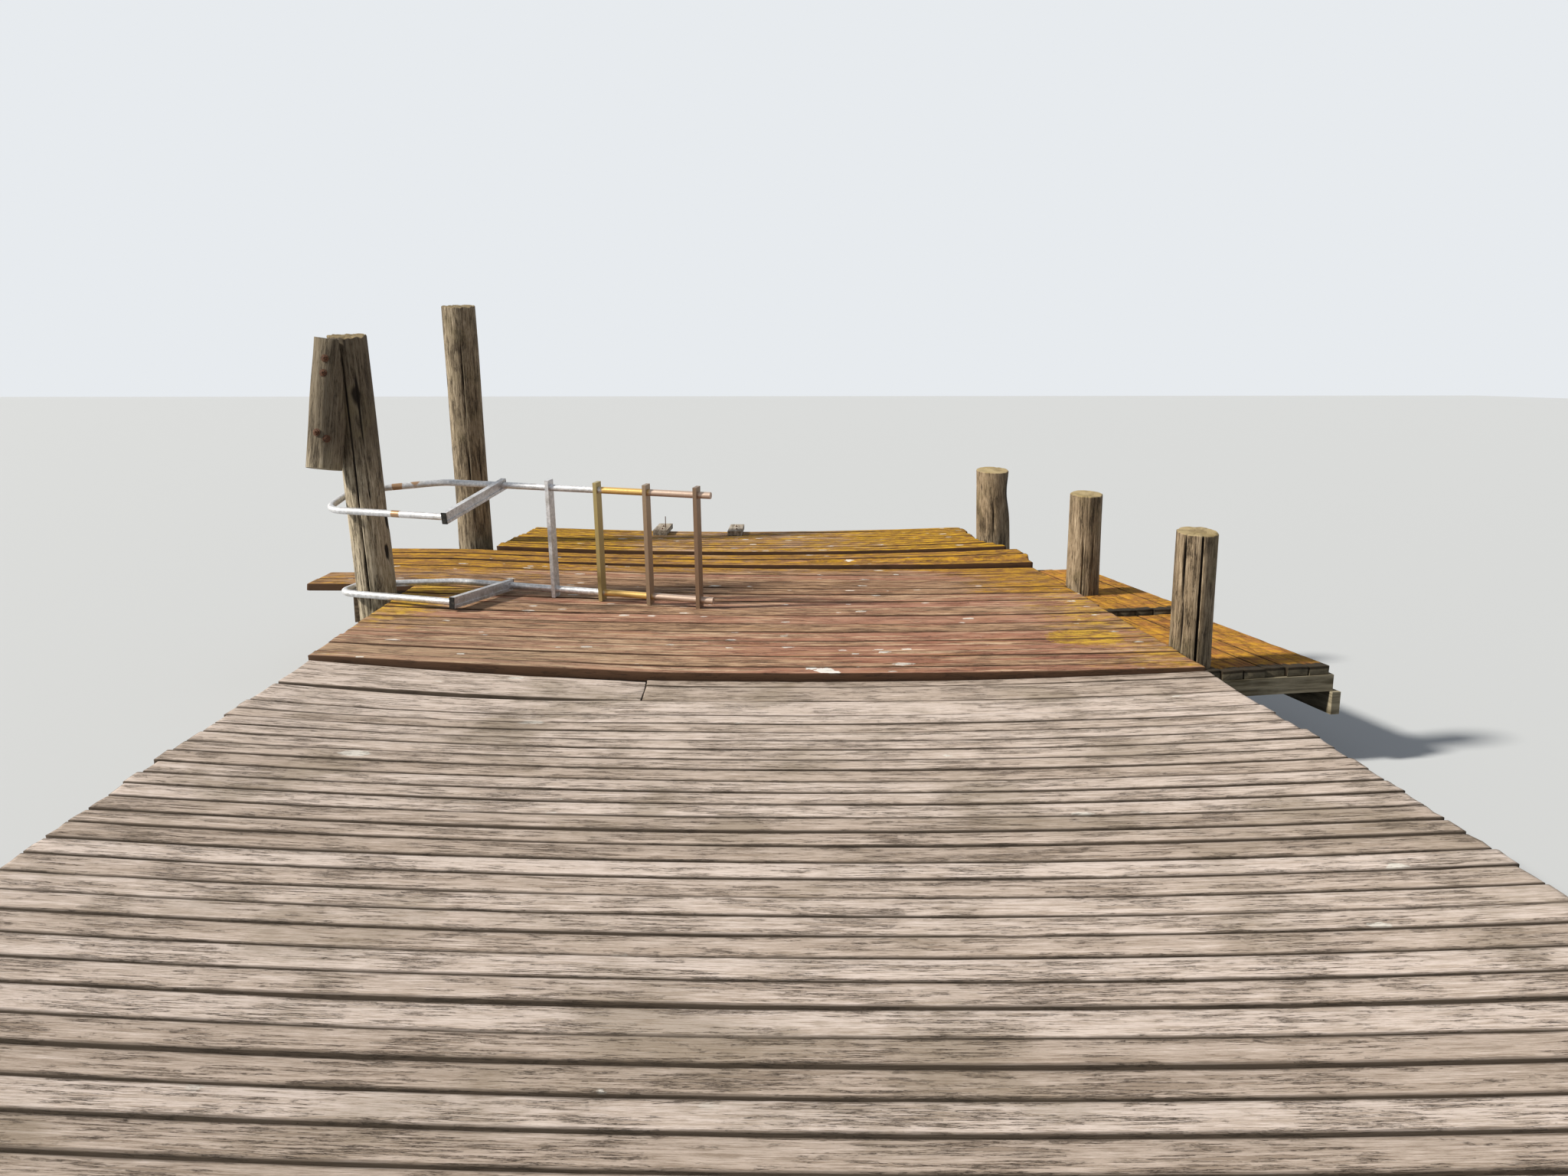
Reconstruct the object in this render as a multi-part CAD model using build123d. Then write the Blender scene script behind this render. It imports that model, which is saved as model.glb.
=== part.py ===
from build123d import *
import math
import os

# A wooden lake jetty: a grey landing from the shore, a red-brown main deck, a T-shaped head
# with a small outer platform, a low side wing on the right, round mooring piles and an
# aluminium swim ladder that lies on its side with its handles round one pile.
# Millimetres. +Y runs out over the water, +X is to the right, +Z is up.
# The origin is the underside of the middle shore pile: z = 0 is the level all feet stand on.

# Levels
DECK_TOP = 600.0              # walking surface above the feet, at the deck's edges
BOARD_THICK = 45.0
HEADER_DROP = 240.0           # deck top down to the top of the cross-beams
SEAT_GAP = 0.2                # air between pieces that rest on each other

# Deck plan, measured from the shore row of piles
DECK_WIDTH = 4000.0
BOARD_SKEW = 3.8              # degrees: the boards' left ends lie further out
SHORE_OVERHANG = 250.0
SEAM_Y = 3620.0               # grey landing ends, red-brown deck starts
HEAD_START_Y = 5550.0         # boards grow longer than the deck is wide
HEAD_LONG_DEPTH = 430.0       # the four longest boards
STEP_Y = 6530.0               # foot of the raised step planks
STEP_MIDDLE_Y = 6735.0        # second step
PLATFORM_START_Y = 6940.0
PLATFORM_END_Y = 8020.0
BOARD_GAP = 5.0

# How far each stretch has sunk in the middle
LANDING_SAG = 60.0
MAIN_SAG = 35.0
STEP_FRONT_SAG = 36.0
STEP_BACK_SAG = 48.0
PLATFORM_SAG = 45.0
RIGHT_SINK = 16.0             # per metre past the seam: the right edge has sunk further out

# Head, step planks and platform
HEAD_LEFT = -2660.0
HEAD_SHORT_LEFT = -2500.0
STEP_LEFT = -2560.0
STEP_FRONT_RIGHT = 1990.0
STEP_BACK_RIGHT = 2000.0
STEP_FRONT_RISE = 5.0         # above the deck's level at the left end
STEP_FRONT_LIFT = -17.0       # right end against the left end
STEP_BACK_RISE = 10.0
STEP_BACK_LIFT = 12.0
PLATFORM_LEFT = -1795.0       # near corners; the boards get shorter further out
PLATFORM_RIGHT = 1910.0
PLATFORM_FAR_LEFT = -1680.0
PLATFORM_FAR_RIGHT = 1785.0
PLATFORM_LONG_DEPTH = 250.0   # the longest boards reach in front of the far right pile
PLATFORM_RISE = 28.0
PLATFORM_LIFT = 12.0

# Beams
STRINGER_WIDTH = 48.0
STRINGER_EDGE = 100.0         # outer stringer's centre in from the deck's edge
STRINGER_COUNT = 5
HEADER_THICK = 48.0
HEADER_DEPTH = 198.0
HEADER_INSET = 20.0           # header's ends in from the deck's edge
HEADER_OVERRUN = 60.0         # header past the middle of a mooring pile
STRINGER_BACK = 20.0          # stringer's end back from the end of its boards
SHORE_BACK = 150.0            # the same at the shore
SIDE_BEAM_INSET = 150.0       # beam under the head's long left end
PLATFORM_STRINGER_INSET = 90.0
PLATFORM_STRINGER_COUNT = 4
CARRIER_LAP = 35.0            # main stringers run this far past the platform's carrier

# Piles
SHORT_PILE_DIAMETER = 160.0
SHORT_PILE_INSET = 300.0      # outer short piles in from the deck's edge
SHORT_PILE_DROP = 40.0        # short piles end this far under their header's top
HEAD_PILES_X = (-2450.0, -1200.0, 1400.0)
WING_PILE_DIAMETER = 120.0
LANDING_ROW_Y = 1900.0
HEAD_ROW_Y = 6480.0
FAR_ROW_Y = 7350.0
END_ROW_Y = 7850.0
NEAR_LEFT_ROW_Y = 5362.0
NEAR_RIGHT_ROW_Y = 3945.0
PILE_AIR = 5.0                # between a pile and the deck's edge
MIDDLE_RIGHT_BITE = 16.0      # how far a pile stands inside the deck's right edge
NEAR_RIGHT_BITE = 10.0
FAR_LEFT_PILE_X = -1980.0
FAR_RIGHT_PILE_X = 1922.0
NEAR_LEFT_DIAMETER = 219.0
MIDDLE_RIGHT_DIAMETER = 202.0
NEAR_RIGHT_DIAMETER = 196.0
FAR_LEFT_DIAMETER = 247.0
FAR_RIGHT_DIAMETER = 256.0
NEAR_LEFT_LEAN = 2.8          # degrees to the left
FAR_LEFT_LEAN = 1.4
FAR_RIGHT_LEAN = 2.2
NEAR_LEFT_HEIGHT = 1468.0     # pile tops above the deck
FAR_LEFT_HEIGHT = 1735.0
LOW_PILE_HEIGHT = 540.0
SAW_CUT = 7.0                 # degrees: the tops fall towards the shore
PILE_TAPER = 0.03             # share of the radius lost at the top

# Split log on the near left pile
LOG_FOOT = 748.0              # its foot above the deck; its top is flush with the pile's
LOG_DIAMETER = 200.0
LOG_SIDE = 50.0               # degrees from the pile's left side towards the shore
LOG_TOP_OUT = 100.0           # its middle from the pile's middle, at the top and at the foot
LOG_FOOT_OUT = 244.0

# Side wing
WING_TURN = 8.8               # degrees
WING_REACH = 785.0            # near outer corner, out from the deck's edge
WING_START_Y = 3914.0
WING_BOARD_INSET = 50.0       # boards' outer edge in from the fascia's end
WING_RUNNER_OUT = 30.0        # outer runner's face past the fascia's end
WING_WIDTH = 700.0
WING_STEP = 1235.0            # near section's length
WING_LENGTH = 2640.0
WING_DROP = 105.0
WING_FAR_DROP = 75.0
WING_BEARER_WIDTH = 48.0
WING_BEARER_FOOT = 230.0      # deck top down to the bearers' underside
WING_RUNNER_DEPTH = 110.0
WING_RUNNER_WIDTH = 45.0
WING_RUNNER_OVERRUN = 20.0
WING_STEP_BEARER_BACK = 90.0  # bearers each side of the wing's step
WING_STEP_BEARER_ON = 20.0
WING_END_BEARER_BACK = 60.0
WING_PILE_BACK = (1350.0, 350.0)  # in from the wing's near and far ends
WING_EDGE_GAP = 20.0          # between the wing's boards and the deck
INNER_RUNNER_START = 60.0     # before the wing's near corner
PILE_NOTCH = 12.0             # air round a pile that passes through boards

# Ladder
TUBE_DIAMETER = 38.0
RAIL_SPACING = 600.0
RUNG_OVERRUN = 45.0           # rung past the rail's centre line
RUNG_THICK = 22.0
RUNG_DEPTH = 64.0
RUNG_COUNT = 4
RUNG_PITCH = 299.0
FIRST_RUNG = 305.0            # from the foot bar
RAIL_LENGTH = 1285.0
LOWER_HOOP = ((-330.0, 0.0), (-795.0, -300.0), (-735.0, -580.0))
UPPER_HOOP = ((-380.0, 0.0), (-835.0, -245.0), (-762.0, -580.0))
HOOP_END = (-14.0, -582.0)
NECK_RADIUS = 250.0
HOOP_RADIUS = 115.0
FOOT_BAR_HEIGHT = 62.0
FOOT_BAR_THICK = 30.0
FOOT_BAR_OVERRUN = 24.0
FOOT_BAR_GROOVE = 6.0         # groove's depth
HOOP_POCKET = 4.0             # how deep the hoop's slanting end sinks into the foot bar
PLUG_THICK = 6.0
LADDER_OFFSET = (729.0, 141.0)    # foot bar's rail end from the middle of the near left pile
LADDER_TURN = -19.1
LADDER_DIP = 1.0              # degrees: the rung end lies lower
LADDER_LEAN = 5.1             # degrees: the upper rail leans towards the shore
LOWER_HOOP_TWIST = -6.0       # degrees a rail is turned in its rungs
UPPER_HOOP_TWIST = 6.5

# Mooring blocks on the outer edge
BLOCK_WIDTH = 110.0
BLOCK_LENGTH = 420.0
BLOCK_THICK = 40.0
BLOCK_X = (-610.0, -20.0)
BLOCK_OVERHANG = 150.0

HALF_DECK = DECK_WIDTH / 2
TALL = 4000.0                 # cutting solids reach past everything


def stout(diameter):
    """A tapered pile's radius at its thickest, at the foot."""
    return diameter / 2 * (1 + PILE_TAPER)


def pile_taper(diameter, height):
    """Radius that a mooring pile loses per millimetre upwards."""
    return diameter * PILE_TAPER / (DECK_TOP + height + 2 * diameter)


def pile_radius(diameter, height, z):
    """A mooring pile's radius at level z, for what is bolted to it there."""
    return stout(diameter) - pile_taper(diameter, height) * (z + diameter)


def right_sink(y):
    """How far the deck's right edge has sunk at y."""
    return RIGHT_SINK * max(y - SEAM_Y, 0) / 1000


def header_foot(y):
    """Lowest level of a cross-beam at y."""
    return DECK_TOP - HEADER_DROP - HEADER_DEPTH - right_sink(y)


def header_offset(diameter, height, y):
    """From a mooring pile's middle to the middle of the cross-beam bolted to it."""
    return pile_radius(diameter, height, header_foot(y)) + SEAT_GAP + HEADER_THICK / 2


# Piles beside the deck stand clear of its edge
NEAR_LEFT_PILE = (-HALF_DECK - PILE_AIR - stout(NEAR_LEFT_DIAMETER), NEAR_LEFT_ROW_Y)
MIDDLE_HEADER_Y = NEAR_LEFT_ROW_Y + header_offset(NEAR_LEFT_DIAMETER, NEAR_LEFT_HEIGHT, NEAR_LEFT_ROW_Y)
MIDDLE_RIGHT_PILE = (
    HALF_DECK - MIDDLE_RIGHT_BITE + stout(MIDDLE_RIGHT_DIAMETER),
    MIDDLE_HEADER_Y + header_offset(MIDDLE_RIGHT_DIAMETER, LOW_PILE_HEIGHT, MIDDLE_HEADER_Y),
)
NEAR_RIGHT_PILE = (HALF_DECK - NEAR_RIGHT_BITE + stout(NEAR_RIGHT_DIAMETER), NEAR_RIGHT_ROW_Y)
FAR_HEADER_Y = FAR_ROW_Y - header_offset(FAR_LEFT_DIAMETER, FAR_LEFT_HEIGHT, FAR_ROW_Y)
FAR_LEFT_PILE = (FAR_LEFT_PILE_X, FAR_ROW_Y)
FAR_RIGHT_PILE = (
    FAR_RIGHT_PILE_X,
    FAR_HEADER_Y + header_offset(FAR_RIGHT_DIAMETER, LOW_PILE_HEIGHT, FAR_ROW_Y),
)
SEAM_HEADER_Y = NEAR_RIGHT_ROW_Y - header_offset(NEAR_RIGHT_DIAMETER, LOW_PILE_HEIGHT, NEAR_RIGHT_ROW_Y)
WING_CORNER = (HALF_DECK + WING_REACH, WING_START_Y)
LADDER_PLACE = (NEAR_LEFT_PILE[0] + LADDER_OFFSET[0], NEAR_LEFT_PILE[1] + LADDER_OFFSET[1])


class Bow:
    """A shallow sag between two edges, level outside them, whose right edge may sink further out."""

    def __init__(self, left, right, sag, lift=0.0, sink=0.0):
        self.left = left
        self.right = right
        self.lift = lift
        self.sink = sink
        self.centre = (left + right) / 2
        self.sag = sag
        self.radius = (((right - left) / 2) ** 2 + sag**2) / (2 * sag)

    def drop(self, x, y=SEAM_Y):
        """Height of the bowed surface at a place in plan, against its left edge."""
        inside = min(max(x, self.left), self.right)
        off = inside - self.centre
        curve = self.radius - self.sag - math.sqrt(self.radius**2 - off**2)
        lift = self.lift - self.sink * (y - SEAM_Y) / 1000
        return curve + lift * (inside - self.left) / (self.right - self.left)


LANDING_BOW = Bow(-HALF_DECK, HALF_DECK, LANDING_SAG)
BEAM_BOW = Bow(-HALF_DECK, HALF_DECK, MAIN_SAG)
MAIN_BOW = Bow(-HALF_DECK, HALF_DECK, MAIN_SAG, sink=RIGHT_SINK)
STEP_FRONT_BOW = Bow(-HALF_DECK, STEP_FRONT_RIGHT, STEP_FRONT_SAG, STEP_FRONT_LIFT)
STEP_BACK_BOW = Bow(-HALF_DECK, STEP_BACK_RIGHT, STEP_BACK_SAG, STEP_BACK_LIFT)
PLATFORM_BOW = Bow(PLATFORM_LEFT, PLATFORM_RIGHT, PLATFORM_SAG, PLATFORM_LIFT)


def bowed_edges(x_left, x_right, y, level, bow):
    """Edges of a bowed line from left to right, in a sketch of X and Z."""
    start = max(x_left, bow.left)
    end = min(x_right, bow.right)
    middle = (start + end) / 2
    edges = []
    if x_left < start:
        edges.append(Line((x_left, level + bow.drop(x_left, y)), (start, level + bow.drop(start, y))))
    edges.append(
        ThreePointArc(
            (start, level + bow.drop(start, y)),
            (middle, level + bow.drop(middle, y)),
            (end, level + bow.drop(end, y)),
        )
    )
    if end < x_right:
        edges.append(Line((end, level + bow.drop(end, y)), (x_right, level + bow.drop(x_right, y))))
    return edges


def bowed_section(x_left, x_right, y, top, thick, bow):
    """The bowed cross-section of a deck or plank at one place along the jetty."""
    under = top - thick
    right_side = Line((x_right, top + bow.drop(x_right, y)), (x_right, under + bow.drop(x_right, y)))
    left_side = Line((x_left, under + bow.drop(x_left, y)), (x_left, top + bow.drop(x_left, y)))
    edges = bowed_edges(x_left, x_right, y, top, bow) + [right_side]
    edges += bowed_edges(x_left, x_right, y, under, bow)[::-1] + [left_side]
    return Pos(0, y, 0) * make_face([Plane.XZ * edge for edge in edges])


def bowed_slab(x_left, x_right, y_near, y_far, top, thick, bow):
    """A plank or deck that runs across, bowed along X and straight along Y."""
    near = bowed_section(x_left, x_right, y_near, top, thick, bow)
    if bow.sink == 0:
        return extrude(near, amount=y_far - y_near, dir=(0, 1, 0))
    return loft([near, bowed_section(x_left, x_right, y_far, top, thick, bow)], ruled=True)


def skewed_plan(x_left, x_right, y_near, y_far):
    """A tall prism whose near and far faces are turned by the boards' skew."""
    slope = math.tan(math.radians(BOARD_SKEW))
    corners = [
        (x_left, y_near - x_left * slope),
        (x_right, y_near - x_right * slope),
        (x_right, y_far - x_right * slope),
        (x_left, y_far - x_left * slope),
    ]
    return extrude(make_face(Polyline(*corners, close=True)), amount=TALL, dir=(0, 0, 1))


def decking(x_left, x_right, y_near, y_far, top, bow):
    """One stretch of boards as a bowed slab with skewed ends."""
    reach = max(abs(x_left), abs(x_right)) * math.tan(math.radians(BOARD_SKEW)) + 10
    slab = bowed_slab(x_left, x_right, y_near - reach, y_far + reach, top, BOARD_THICK, bow)
    return slab & skewed_plan(x_left, x_right, y_near, y_far)


def board_y(y_centre, x):
    """Where a skewed board line that crosses the middle at y_centre lies at x."""
    return y_centre - x * math.tan(math.radians(BOARD_SKEW))


def stringer(x, y_near, y_far, top, top_bow, foot, foot_bow):
    """A lengthwise beam that follows the bows of what it carries and rests on."""
    left = x - STRINGER_WIDTH / 2
    right = x + STRINGER_WIDTH / 2
    ends = []
    for y in (y_near, y_far):
        corners = [
            (left, y, top + top_bow.drop(left, y)),
            (right, y, top + top_bow.drop(right, y)),
            (right, y, foot + foot_bow.drop(right, y)),
            (left, y, foot + foot_bow.drop(left, y)),
        ]
        ends.append(make_face(Polyline(*corners, close=True)))
    return loft(ends, ruled=True)


def header(x_left, x_right, y_centre):
    """A cross-beam plank on edge, bolted to its piles."""
    near = y_centre - HEADER_THICK / 2
    far = y_centre + HEADER_THICK / 2
    bow = Bow(-HALF_DECK, HALF_DECK, MAIN_SAG, -right_sink(far))
    return bowed_slab(x_left, x_right, near, far, DECK_TOP - HEADER_DROP, HEADER_DEPTH, bow)


def short_pile(x, y, top, diameter=SHORT_PILE_DIAMETER):
    """A pile that ends out of sight under the deck."""
    return Pos(x, y, 0) * Cylinder(diameter / 2, top, align=(Align.CENTER, Align.CENTER, Align.MIN))


def mooring_pile(place, diameter, height, lean=0.0):
    """A tall round pile, placed at deck level, tapered, with a sloping saw-cut top."""
    top = height + diameter
    foot = DECK_TOP + diameter
    body = Cone(
        diameter / 2 * (1 + PILE_TAPER),
        diameter / 2 * (1 - PILE_TAPER),
        top + foot,
        align=(Align.CENTER, Align.CENTER, Align.MIN),
    )
    body = Rot(0, -lean, 0) * (Pos(0, 0, -foot) * body)
    body = Pos(*place, DECK_TOP) * body
    ground = Pos(*place, -TALL / 2) * Box(TALL, TALL, TALL)
    above = Box(TALL, TALL, TALL, align=(Align.CENTER, Align.CENTER, Align.MIN))
    saw = Pos(*place, DECK_TOP + height) * Rot(SAW_CUT, 0, 0) * above
    return body - ground - saw


def stringer_places(left, right, count):
    """Even places across a deck, from its first stringer to its last."""
    return [left + (right - left) * i / (count - 1) for i in range(count)]


def landing_parts():
    deck = decking(
        -HALF_DECK, HALF_DECK, -SHORE_OVERHANG, SEAM_Y - BOARD_GAP / 2, DECK_TOP, LANDING_BOW
    )
    top = DECK_TOP - BOARD_THICK - SEAT_GAP
    foot = DECK_TOP - HEADER_DROP + SEAT_GAP
    edge = HALF_DECK - STRINGER_EDGE
    start = SHORE_BACK - SHORE_OVERHANG
    beside = STRINGER_WIDTH + SEAT_GAP
    end = SEAM_HEADER_Y + HEADER_THICK / 2 + STRINGER_BACK
    beams = [
        stringer(x + beside, start, end, top, LANDING_BOW, foot, BEAM_BOW)
        for x in stringer_places(-edge, edge, STRINGER_COUNT)
    ]
    cover = bowed_slab(
        -HALF_DECK, HALF_DECK, SEAM_Y, SEAM_Y + TALL / 2, DECK_TOP, BOARD_THICK + SEAT_GAP, MAIN_BOW
    )
    return {"landing_decking": deck, "landing_stringers": Compound([beam - cover for beam in beams])}


def carrier_y():
    """Middle of the beam under the platform stringers' near ends, past the skewed edge above."""
    left = PLATFORM_FAR_LEFT + PLATFORM_STRINGER_INSET - STRINGER_WIDTH / 2
    return board_y(PLATFORM_START_Y, left) + STRINGER_BACK + HEADER_THICK / 2


def step_strips(x):
    """The packing strips between a beam and the two pairs of step planks."""
    top = DECK_TOP - BOARD_THICK - SEAT_GAP
    foot = top + SEAT_GAP
    start = board_y(STEP_Y, x) + STRINGER_BACK
    middle = board_y(STEP_MIDDLE_Y, x)
    end = board_y(PLATFORM_START_Y, x) - STRINGER_BACK
    return [
        stringer(x, start, middle - SEAT_GAP, top + STEP_FRONT_RISE, STEP_FRONT_BOW, foot, MAIN_BOW),
        stringer(x, middle + SEAT_GAP, end, top + STEP_BACK_RISE, STEP_BACK_BOW, foot, MAIN_BOW),
    ]


def main_parts():
    deck = decking(
        -HALF_DECK, HALF_DECK, SEAM_Y + BOARD_GAP / 2, HEAD_START_Y - BOARD_GAP / 2, DECK_TOP, MAIN_BOW
    )
    deck -= pile_notch(MIDDLE_RIGHT_PILE, MIDDLE_RIGHT_DIAMETER)
    deck -= pile_notch(NEAR_RIGHT_PILE, NEAR_RIGHT_DIAMETER)
    top = DECK_TOP - BOARD_THICK - SEAT_GAP
    foot = DECK_TOP - HEADER_DROP + 2 * SEAT_GAP
    edge = HALF_DECK - STRINGER_EDGE
    places = stringer_places(-edge, edge, STRINGER_COUNT)
    beams = []
    strips = []
    for x in places:
        start = board_y(SEAM_Y, x) + STRINGER_BACK
        end = carrier_y() + CARRIER_LAP
        if x in (places[0], places[-1]):
            end = board_y(PLATFORM_START_Y, x) - STRINGER_BACK
        beams.append(stringer(x, start, end, top, MAIN_BOW, foot, MAIN_BOW))
        strips += step_strips(x)
    return {"main_decking": deck, "main_stringers": Compound(beams), "step_strips": Compound(strips)}


def head_parts():
    head_end = STEP_Y - BOARD_GAP / 2
    deck = decking(HEAD_LEFT, HALF_DECK, HEAD_START_Y + BOARD_GAP / 2, head_end, DECK_TOP, MAIN_BOW)
    deck -= skewed_plan(HEAD_LEFT - TALL, HEAD_SHORT_LEFT, HEAD_START_Y + HEAD_LONG_DEPTH, STEP_Y)
    deck -= pile_notch(MIDDLE_RIGHT_PILE, MIDDLE_RIGHT_DIAMETER)
    front = decking(
        STEP_LEFT, STEP_FRONT_RIGHT, STEP_Y + BOARD_GAP / 2, STEP_MIDDLE_Y - BOARD_GAP / 2,
        DECK_TOP + STEP_FRONT_RISE, STEP_FRONT_BOW,
    )
    back = decking(
        STEP_LEFT, STEP_BACK_RIGHT, STEP_MIDDLE_Y + BOARD_GAP / 2, PLATFORM_START_Y - BOARD_GAP / 2,
        DECK_TOP + STEP_BACK_RISE, STEP_BACK_BOW,
    )
    platform = decking(
        PLATFORM_LEFT, PLATFORM_RIGHT, PLATFORM_START_Y + BOARD_GAP / 2, PLATFORM_END_Y,
        DECK_TOP + PLATFORM_RISE, PLATFORM_BOW,
    )
    left_near = board_y(PLATFORM_START_Y, PLATFORM_LEFT)
    left_far = board_y(PLATFORM_END_Y, PLATFORM_FAR_LEFT)
    right_near = board_y(PLATFORM_START_Y + PLATFORM_LONG_DEPTH, PLATFORM_RIGHT)
    right_far = board_y(PLATFORM_END_Y, PLATFORM_FAR_RIGHT)
    outside = [
        [(PLATFORM_LEFT, left_near), (PLATFORM_FAR_LEFT, left_far + TALL / 8), (-TALL, left_far + TALL / 8),
         (-TALL, left_near)],
        [(PLATFORM_RIGHT, right_near), (PLATFORM_FAR_RIGHT, right_near + PLATFORM_RIGHT - PLATFORM_FAR_RIGHT),
         (PLATFORM_FAR_RIGHT, right_far + TALL / 8), (TALL, right_far + TALL / 8), (TALL, right_near)],
    ]
    for corners in outside:
        platform -= extrude(make_face(Polyline(*corners, close=True)), amount=TALL, dir=(0, 0, 1))
    return {"head_decking": deck, "step_planks": Compound([front, back]), "platform_decking": platform}


def pile_notch(place, diameter):
    """The round hole that boards leave for a pile."""
    return Pos(place[0], place[1], 0) * Cylinder(
        diameter / 2 + PILE_NOTCH, TALL, align=(Align.CENTER, Align.CENTER, Align.MIN)
    )


def pile_parts():
    near_left = mooring_pile(NEAR_LEFT_PILE, NEAR_LEFT_DIAMETER, NEAR_LEFT_HEIGHT, NEAR_LEFT_LEAN)
    far_left = mooring_pile(FAR_LEFT_PILE, FAR_LEFT_DIAMETER, FAR_LEFT_HEIGHT, FAR_LEFT_LEAN)
    far_right = mooring_pile(FAR_RIGHT_PILE, FAR_RIGHT_DIAMETER, LOW_PILE_HEIGHT, FAR_RIGHT_LEAN)
    middle_right = mooring_pile(MIDDLE_RIGHT_PILE, MIDDLE_RIGHT_DIAMETER, LOW_PILE_HEIGHT)
    near_right = mooring_pile(NEAR_RIGHT_PILE, NEAR_RIGHT_DIAMETER, LOW_PILE_HEIGHT)
    return {
        "near_left_pile": near_left,
        "far_left_pile": far_left,
        "far_right_pile": far_right,
        "middle_right_pile": middle_right,
        "near_right_pile": near_right,
    }


def header_parts():
    reach = HALF_DECK - HEADER_INSET
    short = SHORT_PILE_DIAMETER / 2 + SEAT_GAP + HEADER_THICK / 2
    middle_left = NEAR_LEFT_PILE[0] - HEADER_OVERRUN
    far_left = FAR_LEFT_PILE_X - HEADER_OVERRUN
    return {
        "shore_header": header(-reach, reach, -short),
        "landing_header": header(-reach, reach, LANDING_ROW_Y - short),
        "seam_header": header(-reach, NEAR_RIGHT_PILE[0] + HEADER_OVERRUN, SEAM_HEADER_Y),
        "middle_header": header(middle_left, MIDDLE_RIGHT_PILE[0] + HEADER_OVERRUN, MIDDLE_HEADER_Y),
        "head_header": header(HEAD_SHORT_LEFT + HEADER_INSET, reach, HEAD_ROW_Y - short),
        "platform_header": header(PLATFORM_FAR_LEFT, PLATFORM_FAR_RIGHT, carrier_y()),
        "far_header": header(far_left, FAR_RIGHT_PILE_X + HEADER_OVERRUN, FAR_HEADER_Y),
        "end_header": header(PLATFORM_FAR_LEFT, PLATFORM_FAR_RIGHT, END_ROW_Y - short),
    }


def short_pile_parts():
    outer = HALF_DECK - SHORT_PILE_INSET
    top = DECK_TOP - HEADER_DROP - SHORT_PILE_DROP
    middle_top = top + MAIN_BOW.drop(0)
    seam_y = SEAM_HEADER_Y + HEADER_THICK / 2 + SEAT_GAP + SHORT_PILE_DIAMETER / 2
    landing = [short_pile(x, LANDING_ROW_Y, top) for x in (-outer, outer)]
    landing.append(short_pile(0, LANDING_ROW_Y, middle_top))
    seam = [short_pile(-outer, seam_y, top), short_pile(0, seam_y, middle_top)]
    head = [short_pile(x, HEAD_ROW_Y, top) for x in HEAD_PILES_X]
    ends = (PLATFORM_FAR_LEFT + SHORT_PILE_INSET, PLATFORM_FAR_RIGHT - SHORT_PILE_INSET)
    end = [short_pile(x, END_ROW_Y, top) for x in ends]
    return {
        "shore_left_pile": short_pile(-outer, 0, top),
        "shore_middle_pile": short_pile(0, 0, middle_top),
        "shore_right_pile": short_pile(outer, 0, top),
        "landing_piles": Compound(landing),
        "seam_piles": Compound(seam),
        "head_piles": Compound(head),
        "end_piles": Compound(end),
    }


def head_beam_parts():
    top = DECK_TOP - BOARD_THICK - SEAT_GAP
    foot = DECK_TOP - HEADER_DROP + 2 * SEAT_GAP
    side_x = HEAD_SHORT_LEFT + SIDE_BEAM_INSET
    near = board_y(HEAD_START_Y, side_x) + STRINGER_BACK
    far = board_y(PLATFORM_START_Y, side_x) - STRINGER_BACK
    side = [stringer(side_x, near, far, top, MAIN_BOW, foot, MAIN_BOW)] + step_strips(side_x)
    left = PLATFORM_FAR_LEFT + PLATFORM_STRINGER_INSET
    right = PLATFORM_FAR_RIGHT - PLATFORM_STRINGER_INSET
    platform = [
        stringer(
            x,
            board_y(PLATFORM_START_Y, x) + STRINGER_BACK,
            board_y(PLATFORM_END_Y, x) - STRINGER_BACK,
            top + PLATFORM_RISE,
            PLATFORM_BOW,
            foot,
            MAIN_BOW,
        )
        for x in stringer_places(left, right, PLATFORM_STRINGER_COUNT)
    ]
    return {"head_side_beam": Compound(side), "platform_stringers": Compound(platform)}


def log_part():
    """A log split on the slant: its flat face lies on the pile and its foot stands off."""
    taper = pile_taper(NEAR_LEFT_DIAMETER, NEAR_LEFT_HEIGHT)
    length = NEAR_LEFT_HEIGHT - LOG_FOOT
    lean = math.degrees(math.atan((LOG_FOOT_OUT - LOG_TOP_OUT) / length))
    log = Cylinder(LOG_DIAMETER / 2, 2 * length, align=(Align.CENTER, Align.CENTER, Align.MIN))
    log = Pos(-LOG_FOOT_OUT, 0, LOG_FOOT) * Rot(0, lean, 0) * log
    seat = pile_radius(NEAR_LEFT_DIAMETER, NEAR_LEFT_HEIGHT, DECK_TOP + LOG_FOOT) + SEAT_GAP
    split = Box(TALL, TALL, TALL, align=(Align.MIN, Align.CENTER, Align.CENTER))
    split = Pos(-seat, 0, LOG_FOOT) * Rot(0, math.degrees(taper), 0) * split
    log = Rot(0, -NEAR_LEFT_LEAN, 0) * Rot(0, 0, LOG_SIDE) * (log - split)
    above = Box(TALL, TALL, TALL, align=(Align.CENTER, Align.CENTER, Align.MIN))
    log -= Pos(0, 0, NEAR_LEFT_HEIGHT) * Rot(SAW_CUT, 0, 0) * above
    return {"split_log": Pos(*NEAR_LEFT_PILE, DECK_TOP) * log}


def wing_place(across, along):
    """A point of the wing in plan: across from its outer edge, along from its near end."""
    turn = math.radians(WING_TURN)
    x = WING_CORNER[0] - across * math.cos(turn) - along * math.sin(turn)
    y = WING_CORNER[1] - across * math.sin(turn) + along * math.cos(turn)
    return (x, y)


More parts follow.
